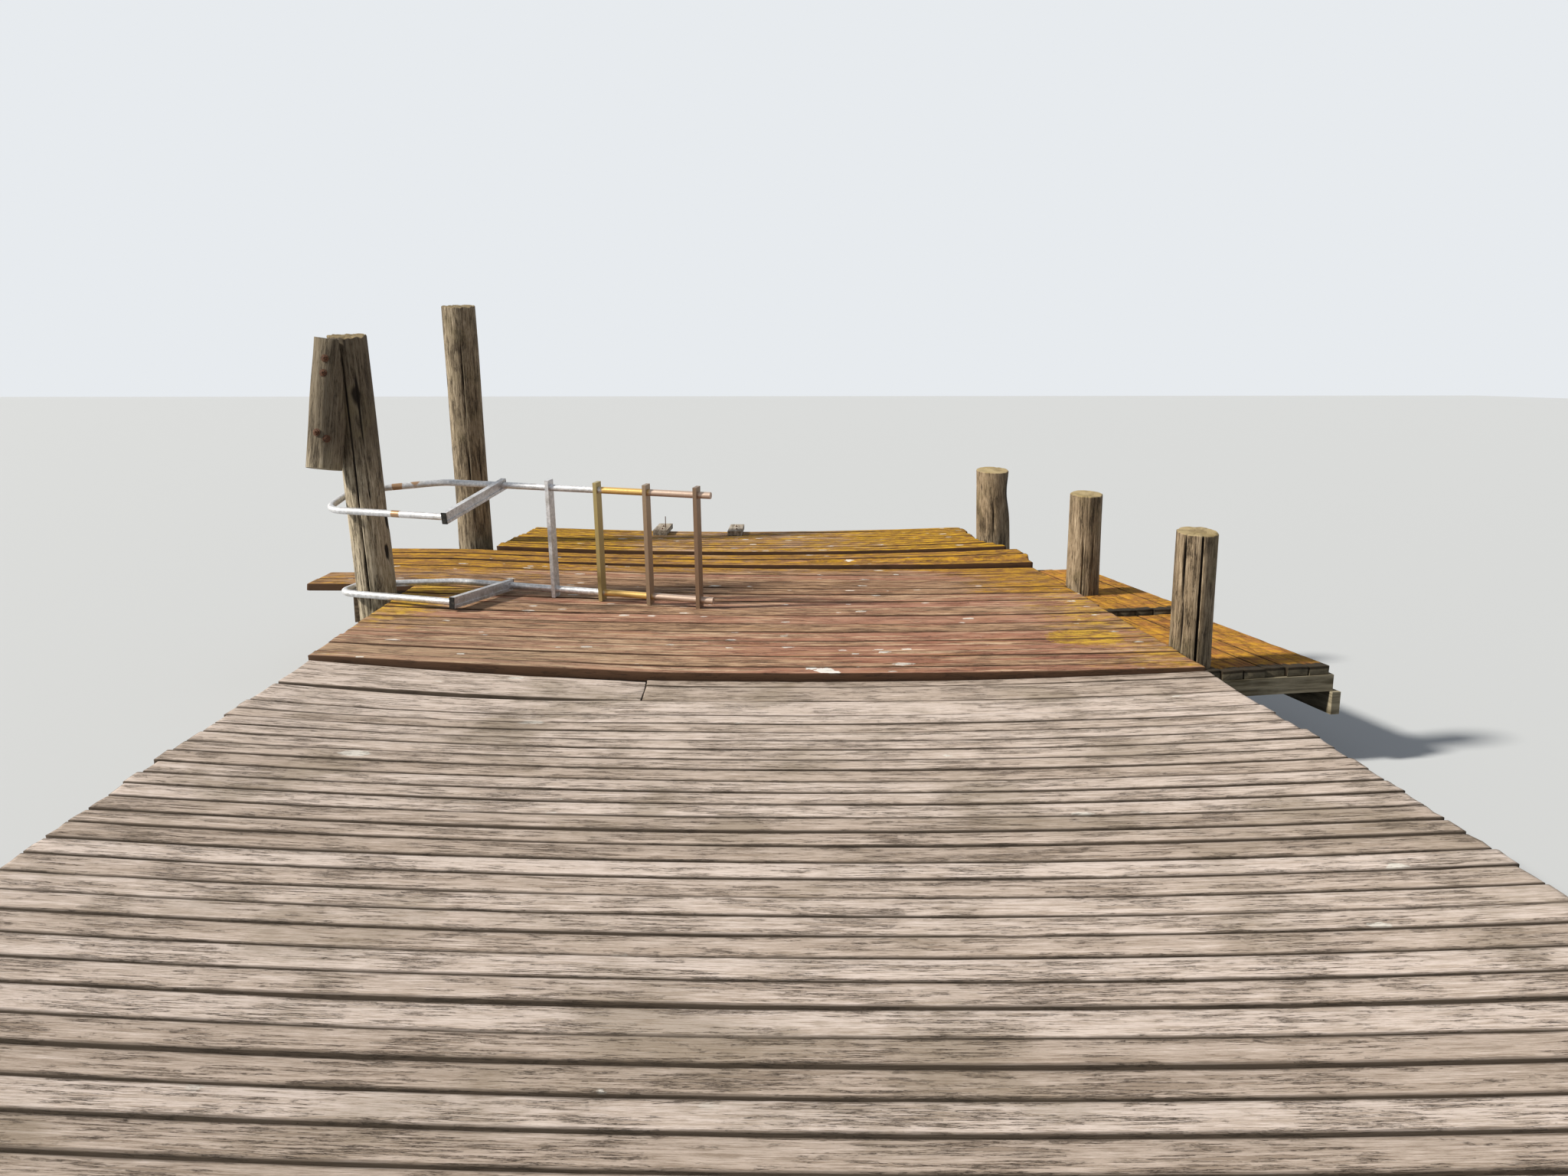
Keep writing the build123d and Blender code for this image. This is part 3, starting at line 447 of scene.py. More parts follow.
def red_boards():
    made, tree, shader, place, grain, tone = start_boards("red_boards", 0.85)
    base, crack, height = stained_wood(tree, place, grain, tone, 0.68)
    worn = times(tree, region(tree, place, ACROSS, 0.4, -1.2), region(tree, place, ALONG, 5.0, 3.8))
    base = mix(tree, times(tree, worn, 0.45), base, colour(176, 154, 128))
    left = region(tree, place, ACROSS, -1.0, -2.0)
    far = region(tree, place, ALONG, 4.0, 5.6)
    right = region(tree, place, ACROSS, 1.1, 1.9)
    left_far = times(tree, left, plus(tree, far, 0.45))
    gold = spot(tree, place, NEAR_RIGHT_PATCH, 0.2, 0.8)
    share = add_shares(tree, 0.2, (left_far, 0.36), (right, 0.34), (gold, 0.4))
    base = lichen_layer(tree, base, place, share, colour(210, 168, 60), colour(160, 116, 62))
    for centre, radius in WHITE_BLOTS:
        base = mix(tree, spot(tree, place, centre, radius, 1.3), base, colour(242, 238, 232))
    return finish_boards(made, tree, shader, (base, crack, height, place))


RED = red_boards()
print("main deck finish:", RED.name)

# %% [markdown]
# ## Head and steps
# Further out golden lichen has spread over the stain, thickest at the right and at the back. It could be
# painted by hand on a map, but the share of the surface that it covers simply grows with the place, plus
# streaks along the boards. Streaks of aged wood lie over it, because the crust has weathered with them.

# %% Head boards
def head_boards():
    made, tree, shader, place, grain, tone = start_boards("head_lichen")
    base, crack, height = stained_wood(tree, place, grain, tone, 0.7)
    left = region(tree, place, ACROSS, -0.6, -1.8)
    right = region(tree, place, ACROSS, 1.0, 1.9)
    back = region(tree, place, ALONG, 6.05, 6.6)
    streak = stretched_noise(tree, grain, (1.4, 22.0, 22.0), 4.0)
    share = add_shares(tree, 0.18, (left, 0.18), (right, 0.36), (back, 0.3), (streak, 0.26))
    base = lichen_layer(tree, base, place, share, colour(200, 150, 42), colour(146, 102, 52))
    aged = mask(tree, stretched_noise(tree, grain, (2.2, 30.0, 30.0), 6.0, 0.75), 0.46, 0.6)
    base = mix(tree, times(tree, aged, 0.45), base, colour(126, 92, 60))
    return finish_boards(made, tree, shader, (base, crack, height, place))


HEAD_FINISH = head_boards()
print("head finish:", HEAD_FINISH.name)

# %% [markdown]
# ## Platform
# The platform at the far end is the most overgrown of the three: little stain is left between the golden
# crusts. The layers are the head's, with other shares, so that the two read as one jetty.

# %% Platform boards
def platform_boards():
    made, tree, shader, place, grain, tone = start_boards("platform_lichen")
    base, crack, height = stained_wood(tree, place, grain, tone, 0.3)
    left = region(tree, place, ACROSS, -0.4, -1.5)
    right = region(tree, place, ACROSS, 0.4, 1.7)
    streak = stretched_noise(tree, grain, (1.4, 22.0, 22.0), 4.0)
    share = add_shares(tree, 0.38, (left, 0.18), (right, 0.24), (streak, 0.3))
    base = lichen_layer(tree, base, place, share, colour(208, 160, 36), colour(150, 106, 46))
    return finish_boards(made, tree, shader, (base, crack, height, place))


PLATFORM_FINISH = platform_boards()
print("platform finish:", PLATFORM_FINISH.name)

# %% [markdown]
# ## Wing
# The wing lies lower and stays wet. Its boards show no stain: they are orange-brown under gold lichen. Their
# near ends rot, dark on top and grey where the saw cut shows. Each board carries a value that rises towards
# its near end, and noise tears the border of the rotten part.

# %% Wing finish
def wing_boards():
    made, tree, shader, place, grain, tone = start_boards("wing_lichen", 0.9)
    base, crack, height = wood_layers(
        tree, grain, tone, colour(200, 140, 70), colour(162, 104, 54), colour(118, 78, 46)
    )
    streak = stretched_noise(tree, grain, (1.8, 16.0, 16.0), 5.0)
    share = add_shares(tree, 0.36, (streak, 0.46))
    base = lichen_layer(tree, base, place, share, colour(204, 150, 48), colour(160, 110, 50))
    base = dropping_layer(tree, base, place, 4.0, 0.7, 0.12)
    base = mix(tree, crack, base, colour(84, 54, 30))
    end = attribute(tree, "end")
    rot = plus(tree, end, times(tree, noise_at(tree, place, 30.0), 0.8))
    base = mix(tree, mask(tree, rot, 0.75, 1.0), base, colour(56, 47, 34))
    # Painted shade on the board sides, and a faint strip along the gaps that is part dirt, part painted
    # shade.
    base = paint_gap_shade_and_dirt(tree, base, colour(46, 38, 26), 0.25)
    below = mask(tree, attribute(tree, "depth"), 0.010, 0.018)
    cut = times(tree, mask(tree, end, 0.97, 0.99), below)
    base = mix(tree, cut, base, colour(112, 103, 84))
    dress(tree, shader, base, height, BOARD_BUMP)
    return made


WING_FINISH = wing_boards()
print("wing finish:", WING_FINISH.name)

# %% [markdown]
# ## Beams
# Beams are squared timber, seen only at the jetty's edges. They keep the shape that the CAD model gives
# them and only get a finish. They carry no grain attribute, so their grain reads the Object coordinates,
# which are stretched along the beam: a small scale in one direction makes long streaks in that direction.

# %% Beams
def beam_finish(name, scale, middle, dark, pale):
    made, tree, shader, place = start_material(name, 0.88)
    streak = stretched_noise(tree, place, scale, 5.0)
    wet = add(tree, "ShaderNodeTexNoise", {"Vector": place, "Scale": 3.0, "Detail": 5.0}).outputs[0]
    base = mix(tree, mask(tree, streak, 0.34, 0.66), dark, middle)
    base = mix(tree, times(tree, mask(tree, wet, 0.45, 0.7), 0.6), base, pale)
    dress(tree, shader, base, streak, 0.004)
    return made


CROSS_BEAM = beam_finish(
    "cross_beams", (1.5, 40.0, 40.0), colour(118, 104, 86), colour(70, 58, 46), colour(140, 128, 108)
)
LONG_BEAM = beam_finish(
    "long_beams", (40.0, 1.5, 40.0), colour(112, 96, 78), colour(66, 54, 42), colour(134, 120, 100)
)
WING_BEAM = beam_finish(
    "wing_beams", (3.0, 3.0, 36.0), colour(150, 140, 118), colour(84, 76, 58), colour(172, 164, 144)
)
BLOCK = beam_finish(
    "mooring_blocks", (60.0, 3.0, 60.0), colour(184, 172, 156), colour(104, 92, 78), colour(214, 204, 190)
)
WET_PILE = beam_finish(
    "short_piles", (40.0, 40.0, 1.5), colour(104, 92, 74), colour(60, 52, 42), colour(124, 112, 92)
)
print("beam finishes:", CROSS_BEAM.name, LONG_BEAM.name, WING_BEAM.name, BLOCK.name, WET_PILE.name)

# %% [markdown]
# ## Round timber
# The mooring piles are peeled trunks: grey, with a little moss, long cracks darkened with painted shade and
# a saw-cut end.
# The near left one has painted shade towards its top. The end shows year rings, which are a sine wave of the
# distance from the heart. A Wave texture would do it too, but its rings couldn't follow the trunk's own
# centre.

# %% Round timber
RING_PACE = 900.0


def pile_finish(name, pale, middle, dark, moss, low, high, sawn=1.0):
    """Grey timber with painted shade above low to high, with a sawn end that is the paler the fresher it is.
    """
    made, tree, shader, place = start_material(name, 0.9)
    grain = attribute(tree, "grain", "Vector")
    ring = attribute(tree, "ring")
    end = attribute(tree, "end")
    base, crack, height = wood_layers(tree, grain, 0.4, pale, middle, dark)
    # Painted shade: the timber darkens from low to high.
    shade = times(tree, region(tree, place, UP, low, high), 0.75)
    base = mix(tree, shade, base, dark)
    moss_noise = noise_at(tree, place, 5.0)
    base = mix(tree, times(tree, mask(tree, moss_noise, 0.5, 0.72), 0.4), base, moss)
    base = mix(tree, crack, base, colour(58, 48, 38))
    # Painted shade in the cracks and knot holes: darker where they cut deeper.
    split = attribute(tree, "split")
    base = mix(tree, mask(tree, split, 0.002, 0.008), base, colour(40, 33, 26))
    ripple = stretched_noise(tree, place, (30.0, 30.0, 30.0), 3.0)
    wave = plus(tree, times(tree, ring, RING_PACE), times(tree, ripple, 3.0))
    rings = math_node(tree, "SINE", wave)
    cut = mix(tree, mask(tree, rings, -0.8, 0.8), colour(170, 150, 112), colour(200, 180, 138))
    cut = mix(tree, times(tree, mask(tree, moss_noise, 0.45, 0.65), 0.6), cut, colour(152, 130, 76))
    cut = mix(tree, 1.0 - sawn, cut, colour(110, 96, 74))
    base = mix(tree, end, base, cut)
    dress(tree, shader, base, height, 0.005)
    return made


PILE_FINISH = pile_finish(
    "grey_piles", colour(182, 165, 140), colour(138, 121, 98), colour(78, 66, 50), colour(116, 106, 72),
    3.0, 4.0,
)
DARK_PILE_FINISH = pile_finish(
    "dark_pile", colour(214, 202, 179), colour(176, 163, 140), colour(86, 75, 60), colour(138, 128, 96),
    1.2, 1.55, 0.45,
)
TALL_PILE_FINISH = pile_finish(
    "tall_pile", colour(186, 172, 150), colour(142, 128, 106), colour(82, 70, 56), colour(120, 110, 80),
    3.0, 4.0, 0.4,
)
print("pile finishes:", PILE_FINISH.name, DARK_PILE_FINISH.name, TALL_PILE_FINISH.name)

# %% [markdown]
# ## Metal and plastic
# The ladder is dull aluminium, scratched and a little dirty. Towards the rung end it has turned yellow and
# then brown, and three marks of old tape sit on its bent end. The stains start at places across the jetty,
# so the masks read the place. Only half metallic, it looks oxidised: a full metal would mirror too clearly.
# The ladder's foot bars are closed by black plastic plugs, and the bolts are rusty iron.

# %% Metal and plastic
TAPE_MARKS = ((-1.879, 5.015, 1.111), (-2.013, 5.53, 1.211), (-1.914, 5.56, 1.225))
TAPE_RADIUS = 0.036


def metal_finish(name, steps, tape=()):
    """Scratched aluminium; steps are (place across the jetty, stain), each over the one before."""
    made, tree, shader, place = start_material(name, 0.42)
    shader.inputs["Metallic"].default_value = 0.5
    scratch = noise_at(tree, place, 60.0, 4.0)
    dirt = noise_at(tree, place, 9.0)
    base = mix(tree, mask(tree, scratch, 0.3, 0.7), colour(188, 189, 192), colour(224, 224, 226))
    base = mix(tree, times(tree, mask(tree, dirt, 0.5, 0.68), 0.4), base, colour(150, 142, 126))
    across = add(tree, "ShaderNodeSeparateXYZ", {0: place}).outputs[0]
    shifted = plus(tree, across, times(tree, dirt, 0.08))
    for start, stain in steps:
        base = mix(tree, mask(tree, shifted, start, start + 0.03), base, stain)
    for centre in tape:
        base = mix(tree, spot(tree, place, centre, TAPE_RADIUS, 0.1), base, colour(166, 134, 104))
    dress(tree, shader, base, scratch, 0.0008)
    return made


def plastic_finish():
    made, tree, shader, place = start_material("black_plastic", 0.6)
    dust = add(tree, "ShaderNodeTexNoise", {"Vector": place, "Scale": 60.0, "Detail": 4.0}).outputs[0]
    base = mix(tree, mask(tree, dust, 0.4, 0.8), colour(24, 24, 24), colour(70, 68, 64))
    dress(tree, shader, base, dust, 0.0005)
    return made


def iron_finish():
    made, tree, shader, place = start_material("rusty_iron", 0.75)
    rust = add(tree, "ShaderNodeTexNoise", {"Vector": place, "Scale": 180.0, "Detail": 4.0}).outputs[0]
    base = mix(tree, mask(tree, rust, 0.35, 0.65), colour(62, 46, 38), colour(112, 76, 54))
    dress(tree, shader, base, rust, 0.001)
    return made


RAIL_METAL = metal_finish(
    "ladder_rails", [(-0.78, colour(206, 170, 104)), (-0.50, colour(188, 166, 150))], TAPE_MARKS
)
RUNG_METAL = metal_finish(
    "ladder_rungs",
    [(-0.95, colour(172, 156, 108)), (-0.66, colour(158, 138, 116)), (-0.38, colour(138, 116, 96))],
)
PLASTIC = plastic_finish()
IRON = iron_finish()
print("finishes:", len(bpy.data.materials))

# %% [markdown]
# ## One board, modelled once
# A deck board is a sawn plank 45 mm thick with worn long edges. Modelling eighty of them by hand would take
# days and an array would make them all alike, so one is modelled and every board of the jetty is a copy of
# it, stretched to its own length and width. It starts as a cube one metre long. Its four long edges are
# bevelled, a centre line is bisected in so that it can cup, and its long edges are divided, so it can bend.

# %% The pattern board
BOARD_WIDTH = 0.095
BOARD_THICK = 0.045
BOARD_CUTS = 40
WORN_EDGE = 0.004


def select_none(mesh):
    for part in (mesh.vertices, mesh.edges, mesh.polygons):
        part.foreach_set("select", [False] * len(part))


def select_edges(mesh, test):
    """In object mode, select only the edges whose two ends pass the test."""
    select_none(mesh)
    for edge in mesh.edges:
        a, b = (mesh.vertices[i].co for i in edge.vertices)
        edge.select = test(a, b)


def pattern_board():
    bpy.ops.mesh.primitive_cube_add(size=1.0, location=(0, 0, -BOARD_THICK / 2))
    board = bpy.context.object
    board.name = "pattern_board"
    board.scale = (1.0, BOARD_WIDTH, BOARD_THICK)
    bpy.ops.object.transform_apply(location=True, rotation=True, scale=True)
    select_edges(board.data, lambda a, b: abs(a.x - b.x) > 0.5)
    bpy.ops.object.mode_set(mode="EDIT")
    bpy.ops.mesh.select_mode(type="EDGE")
    bpy.ops.mesh.bevel(offset=WORN_EDGE, segments=2, affect="EDGES")
    bpy.ops.mesh.select_all(action="SELECT")
    bpy.ops.mesh.bisect(plane_co=(0, 0, 0), plane_no=(0, 1, 0))
    bpy.ops.object.mode_set(mode="OBJECT")
    select_edges(board.data, lambda a, b: abs(a.x - b.x) > 0.5)
    bpy.ops.object.mode_set(mode="EDIT")
    bpy.ops.mesh.subdivide(number_cuts=BOARD_CUTS)
    bpy.ops.object.mode_set(mode="OBJECT")
    return board


BOARD = pattern_board()
print("pattern board:", len(BOARD.data.vertices), "points")

# %% [markdown]
# ## Laying a board
# Old boards warp, cup, chip along their edges and splinter at their ends, each in its own way. The CAD slab
# under each stretch of boards already has the right sag and twist. So a copied board is laid on it point by
# point: the plan gives each point its place from above, the slab's own surface gives the height, and seeded
# noise gives the wear. A Shrinkwrap modifier would find the slab too, but it would press the board flat.

# %% Lay one board
ABOVE_DECKS = 0.66  # a height over every slab, from which its top is found
TILT_SPREAD = 0.012  # metres per metre across
RISE_SPREAD = 0.0009
CUP_LEAST = -0.0004
CUP_MOST = 0.0016
WARP_HEIGHT = 0.003
CHIP_DEPTH = 0.006
CHIP_INWARDS = 0.0014
SPLINTER = 0.012
SPLINTER_FADE = 12  # splinters fade out over half a metre divided by this
TOP_EDGE = -0.006  # only points above this, from the board's top, cup and chip
ROT_REACH = 0.12  # how far the rot can come in from the near end


def surface(slab, x, y):
    """Height of the slab's top at a place seen from above."""
    return slab.closest_point_on_mesh(Vector((x, y, ABOVE_DECKS)))[1].z


def carry(mesh, grain, **values):
    """Store the grain vector and other values on the mesh's points, for the materials to read."""
    flat = [number for place in grain for number in place]
    mesh.attributes.new("grain", "FLOAT_VECTOR", "POINT").data.foreach_set("vector", flat)
    for key, numbers in values.items():
        mesh.attributes.new(key, "FLOAT", "POINT").data.foreach_set("value", numbers)


def lay_board(plan, length, slab, chance, lift, width, wear=1.0, tone=None):
    """A copy of the pattern board, laid by plan(share along, metres across) on the slab.

    The plan gives the place in x and y, and how far the board has sunk there. A tone that is given takes
    the place of the drawn one.
    """
    mesh = BOARD.data.copy()
    board = bpy.data.objects.new("board", mesh)
    bpy.context.collection.objects.link(board)
    shift = Vector([chance.uniform(0, 50) for axis in range(3)])
    drawn = chance.random()
    tone = drawn if tone is None else tone
    tilt = chance.gauss(0, TILT_SPREAD) * wear * BOARD_WIDTH / width
    cup = chance.uniform(CUP_LEAST, CUP_MOST) * wear
    rise = chance.gauss(0, RISE_SPREAD) * wear + lift
    grain, depth, ends, edges = [], [], [], []
    for point in mesh.vertices:
        share = point.co.x + 0.5
        v = point.co.y * width / BOARD_WIDTH
        w = point.co.z
        along = share * length
        grain.append(Vector((along, v, w)) + shift)
        depth.append(-w)
        edges.append(width / 2 - abs(v))
        ends.append(max(0.0, 1.0 - along / ROT_REACH))
        end = max(0.0, 0.5 - min(share, 1 - share) * length * SPLINTER_FADE)
        splinter = noise.noise(Vector((v * 90, w * 60, 0)) + shift) * SPLINTER * end
        chip = noise.noise(Vector((along * 9, v * 30, w * 30)) + shift)
        x, y, dip = plan(share + splinter / length, v + chip * CHIP_INWARDS * wear)
        warp = noise.noise(Vector((along * 0.9, 0, 0)) + shift) * WARP_HEIGHT * wear
        worn = 0.0
        if w > TOP_EDGE:
            worn = cup * (v / width * 2) ** 2 - max(0.0, chip - 0.25) * CHIP_DEPTH * abs(v / width * 2)
        point.co = (x, y, surface(slab, x, y) + dip + w + rise + tilt * v + warp + worn)
    carry(mesh, grain, tone=[tone] * len(grain), depth=depth, end=ends, edge=edges)
    return board


print("boards are", BOARD_THICK, "m thick")

# %% [markdown]
# ## Joining boards to a piece
# A row of boards becomes one object, so that it can stand for one CAD slab. Small bevels are
# shaded smooth and sharp edges stay sharp, which the angle decides. Then the piece is made part of
# the jetty, and the CAD node that it stands for is hidden.

# %% Join, settle and count
def join_pieces(name, parts, finish):
    """Join copies into one piece, smooth its small bevels and give it its finish."""
    bpy.ops.object.select_all(action="DESELECT")
    for part in parts:
        part.select_set(True)
    bpy.context.view_layer.objects.active = parts[0]
    bpy.ops.object.join()
    piece = bpy.context.object
    piece.name = name
    piece.data.name = name
    piece.data.materials.clear()
    piece.data.materials.append(finish)
    bpy.ops.object.shade_smooth_by_angle(angle=math.radians(35))
    bpy.ops.object.select_all(action="DESELECT")
    return piece


def settle(piece, node=None):
    """Make the piece part of the jetty, hide the node that it stands for, and count it."""
    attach(piece, "root")
    if node:
        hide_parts(node)
    piece.data.calc_loop_triangles()
    print(piece.name, len(piece.data.loop_triangles), "triangles")

# %% [markdown]
# ## How the boards run
# The boards cross the jetty slightly askew: their left ends lie further out. Around the seam, where the two
# stretches of the jetty meet, the left ends fan out even more and the boards have sunk. A curve modifier
# could bend a whole row, but the fan fades from board to board, so two small functions give the turn and
# the dip for any place.

# %% Skew, fan and dip
SKEW = math.tan(math.radians(3.8))
SEAM_Y = 3.62
FAN_START_X = -0.35
FAN_SLOPE = 0.08
FAN_BEFORE = 0.55
FAN_AFTER = 0.9
DIP_DEPTH = 0.012
DIP_LEFT_X = -0.2
DIP_LENGTH = 0.6
DIP_START_Y = 2.7
DIP_RAMP = 0.5


def seam_fan(x, y):
    """How far the left ends of the boards near the seam are turned away from the shore."""
    if y < SEAM_Y:
        share = max(0.0, 1 - (SEAM_Y - y) / FAN_BEFORE)
    else:
        share = max(0.0, 1 - (y - SEAM_Y) / FAN_AFTER)
    return FAN_SLOPE * max(0.0, FAN_START_X - x) * share


def seam_dip(x, y):
    """How far the boards around the seam have sunk, most of all at the left before the seam plank."""
    left = min(1.0, max(0.0, (DIP_LEFT_X - x) / DIP_LENGTH))
    if y > SEAM_Y:
        return (0.003 + 0.006 * left) * max(0.0, 1 - (y - SEAM_Y) / DIP_LENGTH)
    bend = max(0.0, math.sin(math.pi * (x + 2.0) / 1.6))
    depth = 0.006 + left * (0.006 + DIP_DEPTH * bend)
    return -depth * min(1.0, max(0.0, (y - DIP_START_Y) / DIP_RAMP))


print("skew", round(SKEW, 4), "m per metre")

# %% [markdown]
# ## Rows of boards
# The boards differ in width: most are 90 to 110 mm wide and some twice that. So a row isn't laid at one
# pitch but between lines, and each board fills the space between two lines but for a narrow gap. On the
# real jetty the ends were never trimmed to a line, so each board ends a little short of the slab's edge, by
# its own amount.

# %% Board rows
DECK_LEFT = -2.0
DECK_RIGHT = 2.0
GAP_LEAST = 0.008
GAP_SPREAD = 0.004
SHORT_LEAST = 0.002
JOINT_GAP = 0.001


def board_row(name, node, spans, finish, seed, ragged=0.022, tones=()):
    """Boards for one CAD slab; spans are (lines between the boards, left end, right end, lift)."""
    chance = random.Random(seed)
    tones = iter(tones)
    slab = nodes[node]
    boards = []
    for lines, x_left, x_right, lift in spans:
        for first, last in zip(lines, lines[1:]):
            middle = (first + last) / 2
            left = x_left + (chance.uniform(SHORT_LEAST, ragged) if x_left < -1 else JOINT_GAP)
            right = x_right - (chance.uniform(SHORT_LEAST, ragged) if x_right > 1 else JOINT_GAP)

            def plan(share, v, middle=middle, left=left, right=right, lift=lift):
                x = left + share * (right - left)
                y = middle + v
                sunk = 0.0 if lift else seam_dip(x, y)
                return x, y - x * SKEW + seam_fan(x, y), sunk

            width = last - first - GAP_LEAST - chance.uniform(0.0, GAP_SPREAD)
            boards.append(lay_board(plan, right - left, slab, chance, lift, width, tone=next(tones, None)))
    settle(join_pieces(name, boards, finish), node)


def even_lines(first, last, boards):
    """The lines between boards of one width."""
    return [first + (last - first) * i / boards for i in range(boards + 1)]


print("gaps between boards from", GAP_LEAST, "to", GAP_LEAST + GAP_SPREAD, "m")

# %% [markdown]
# ## Landing
# The landing's boards were measured one by one along its middle line, from the seam towards the shore. The
# last ten are hidden on the real jetty and get one width. The seam plank is a wide one that lies lower, in
# two pieces: a broad one on the left and two narrower ones on the right, with a joint between.

# %% Landing boards
SEAM_PLANK_Y = 3.311
LANDING_END_Y = 3.6175
LANDING_JOINT = -0.45
LANDING_LINES = [
    0.767, 0.865, 0.981, 1.085, 1.193, 1.295, 1.396, 1.5, 1.612, 1.715, 1.828, 1.925, 2.035, 2.142,
    2.245, 2.35, 2.457, 2.56, 2.67, 2.775, 2.884, 2.99, 3.1, SEAM_PLANK_Y,
]
board_row(
    "landing_boards",
    "landing_decking",
    [
        (even_lines(-0.25, LANDING_LINES[0], 10), DECK_LEFT, DECK_RIGHT, 0.0),
        (LANDING_LINES, DECK_LEFT, DECK_RIGHT, 0.0),
        ([SEAM_PLANK_Y, LANDING_END_Y], DECK_LEFT, LANDING_JOINT, -0.012),
        ([SEAM_PLANK_Y, 3.53, LANDING_END_Y], LANDING_JOINT + 0.003, DECK_RIGHT, -0.008),
    ],
    GREY,
    11,
)

# %% [markdown]
# ## Main deck and head
# The eleven stained boards are of very different widths, and each has weathered to its own tone. Both were
# read off the real deck, so here the tones are given and not drawn. The five boards of the head are wide
# too, and the two near ones reach further out on the left, past the deck's side.

# %% Main deck and head
HEAD_LEFT = -2.66
HEAD_FAR_LEFT = -2.5
MAIN_LINES = [3.6225, 3.74, 3.945, 4.048, 4.161, 4.27, 4.483, 4.682, 4.901, 5.119, 5.322, 5.5475]
MAIN_TONES = [0.9, 0.35, 0.6, 0.8, 0.55, 0.7, 0.1, 0.95, 0.2, 0.8, 0.45]
board_row(
    "main_boards", "main_decking", [(MAIN_LINES, DECK_LEFT, DECK_RIGHT, 0.0)], RED, 12, tones=MAIN_TONES
)
board_row(
    "head_boards",
    "head_decking",
    [
        ([5.5525, 5.745, 5.98], HEAD_LEFT, DECK_RIGHT, 0.0),
        ([5.98, 6.085, 6.265, 6.5275], HEAD_FAR_LEFT, DECK_RIGHT, 0.0),
    ],
    HEAD_FINISH,
    13,
)

# %% [markdown]
# ## Steps and platform
# Two pairs of step planks lead to the platform, which is narrower than the deck and grows narrower still
# towards its far end: its boards end further and further in. Each span of the row therefore has ends of its
# own. The step planks' ends are less ragged than the deck's.

# %% Step and platform boards
PLATFORM_RIGHT = 1.785
board_row(
    "step_boards",
    "step_planks",
    [([6.5325, 6.6325, 6.7325], -2.56, 1.99, 0.0), ([6.7375, 6.8375, 6.9375], -2.56, 1.975, 0.0)],
    HEAD_FINISH,
    14,
    ragged=0.006,
)
board_row(
    "platform_boards",
    "platform_decking",
    [
        ([6.9425, 7.04], -1.79, 1.90, 0.0),
        ([7.04, 7.14], -1.78, 1.86, 0.0),
        ([7.14, 7.24], -1.765, 1.81, 0.0),
        ([7.24, 7.34, 7.44], -1.75, PLATFORM_RIGHT, 0.0),
        ([7.44, 7.54, 7.64], -1.725, PLATFORM_RIGHT, 0.0),
        ([7.64, 7.74, 7.84], -1.70, PLATFORM_RIGHT, 0.0),
        ([7.84, 7.93, 8.02], -1.68, PLATFORM_RIGHT, 0.0),
    ],
    PLATFORM_FINISH,
    15,
)

# %% [markdown]
# ## The wing
# The low wing beside the jetty is boarded lengthwise, in two stretches with a beam between them. Its inner
# boards run under the jetty's edge. They could each be cut to length, but the edge crosses them at a slant,
# so the whole row is bisected along it and the cut is filled.

# %% Wing boards
WING_TURN = math.radians(8.8)
WING_CORNER = (2.785, 3.914)
WING_ROWS = 6
WING_WIDTH = 0.68
WING_RIM = 0.02  # from the outer edge to the first board
WING_GAP = 0.004
WING_WEAR = 1.2
WING_BREAK = 1.235  # where the second stretch begins
WING_LENGTH = 2.64
JETTY_EDGE_X = 2.02


def wing_place(across, along):
    """A point of the wing in plan: across from its outer edge, along from its near end."""
    x = WING_CORNER[0] - across * math.cos(WING_TURN) - along * math.sin(WING_TURN)
    y = WING_CORNER[1] - across * math.sin(WING_TURN) + along * math.cos(WING_TURN)
    return x, y


def wing_row(name, node, start, end, seed):
    """Six boards between two distances from the wing's near end."""
    chance = random.Random(seed)
    pitch = WING_WIDTH / WING_ROWS
    boards = []
    for i in range(WING_ROWS):
        middle = WING_RIM + (i + 0.5) * pitch
        near = start + chance.uniform(0.002, 0.02)
        far = end - chance.uniform(0.002, 0.012)

        def plan(share, v, middle=middle, near=near, far=far):
            x, y = wing_place(middle - v, near + share * (far - near))
            return x, y, 0.0

        boards.append(lay_board(plan, far - near, nodes[node], chance, 0.0, pitch - WING_GAP, WING_WEAR))
    piece = join_pieces(name, boards, WING_FINISH)
    piece.select_set(True)
    bpy.ops.object.mode_set(mode="EDIT")
    bpy.ops.mesh.select_all(action="SELECT")
    bpy.ops.mesh.bisect(plane_co=(JETTY_EDGE_X, 0, 0), plane_no=(1, 0, 0), use_fill=True, clear_inner=True)
    bpy.ops.object.mode_set(mode="OBJECT")
    bpy.ops.object.select_all(action="DESELECT")
    settle(piece, node)


wing_row("wing_near_boards", "wing_near_decking", 0.0, WING_BREAK, 21)
wing_row("wing_far_boards", "wing_far_decking", WING_BREAK, WING_LENGTH, 22)

# %% [markdown]
# ## Measuring the CAD piles
# The mooring piles lean, each in its own direction, and are sawn off on the slant. The numbers could be
# typed in from the CAD model, but they would be wrong as soon as it changed. So each CAD pile is measured:
# the points of its foot and of its top give the centre and the radius there, and the slant of the cut.

# %% Measure a pile
FOOT_BAND = 0.001  # points below this belong to the foot
TOP_BAND = 0.05  # points this close to the highest belong to the sawn top


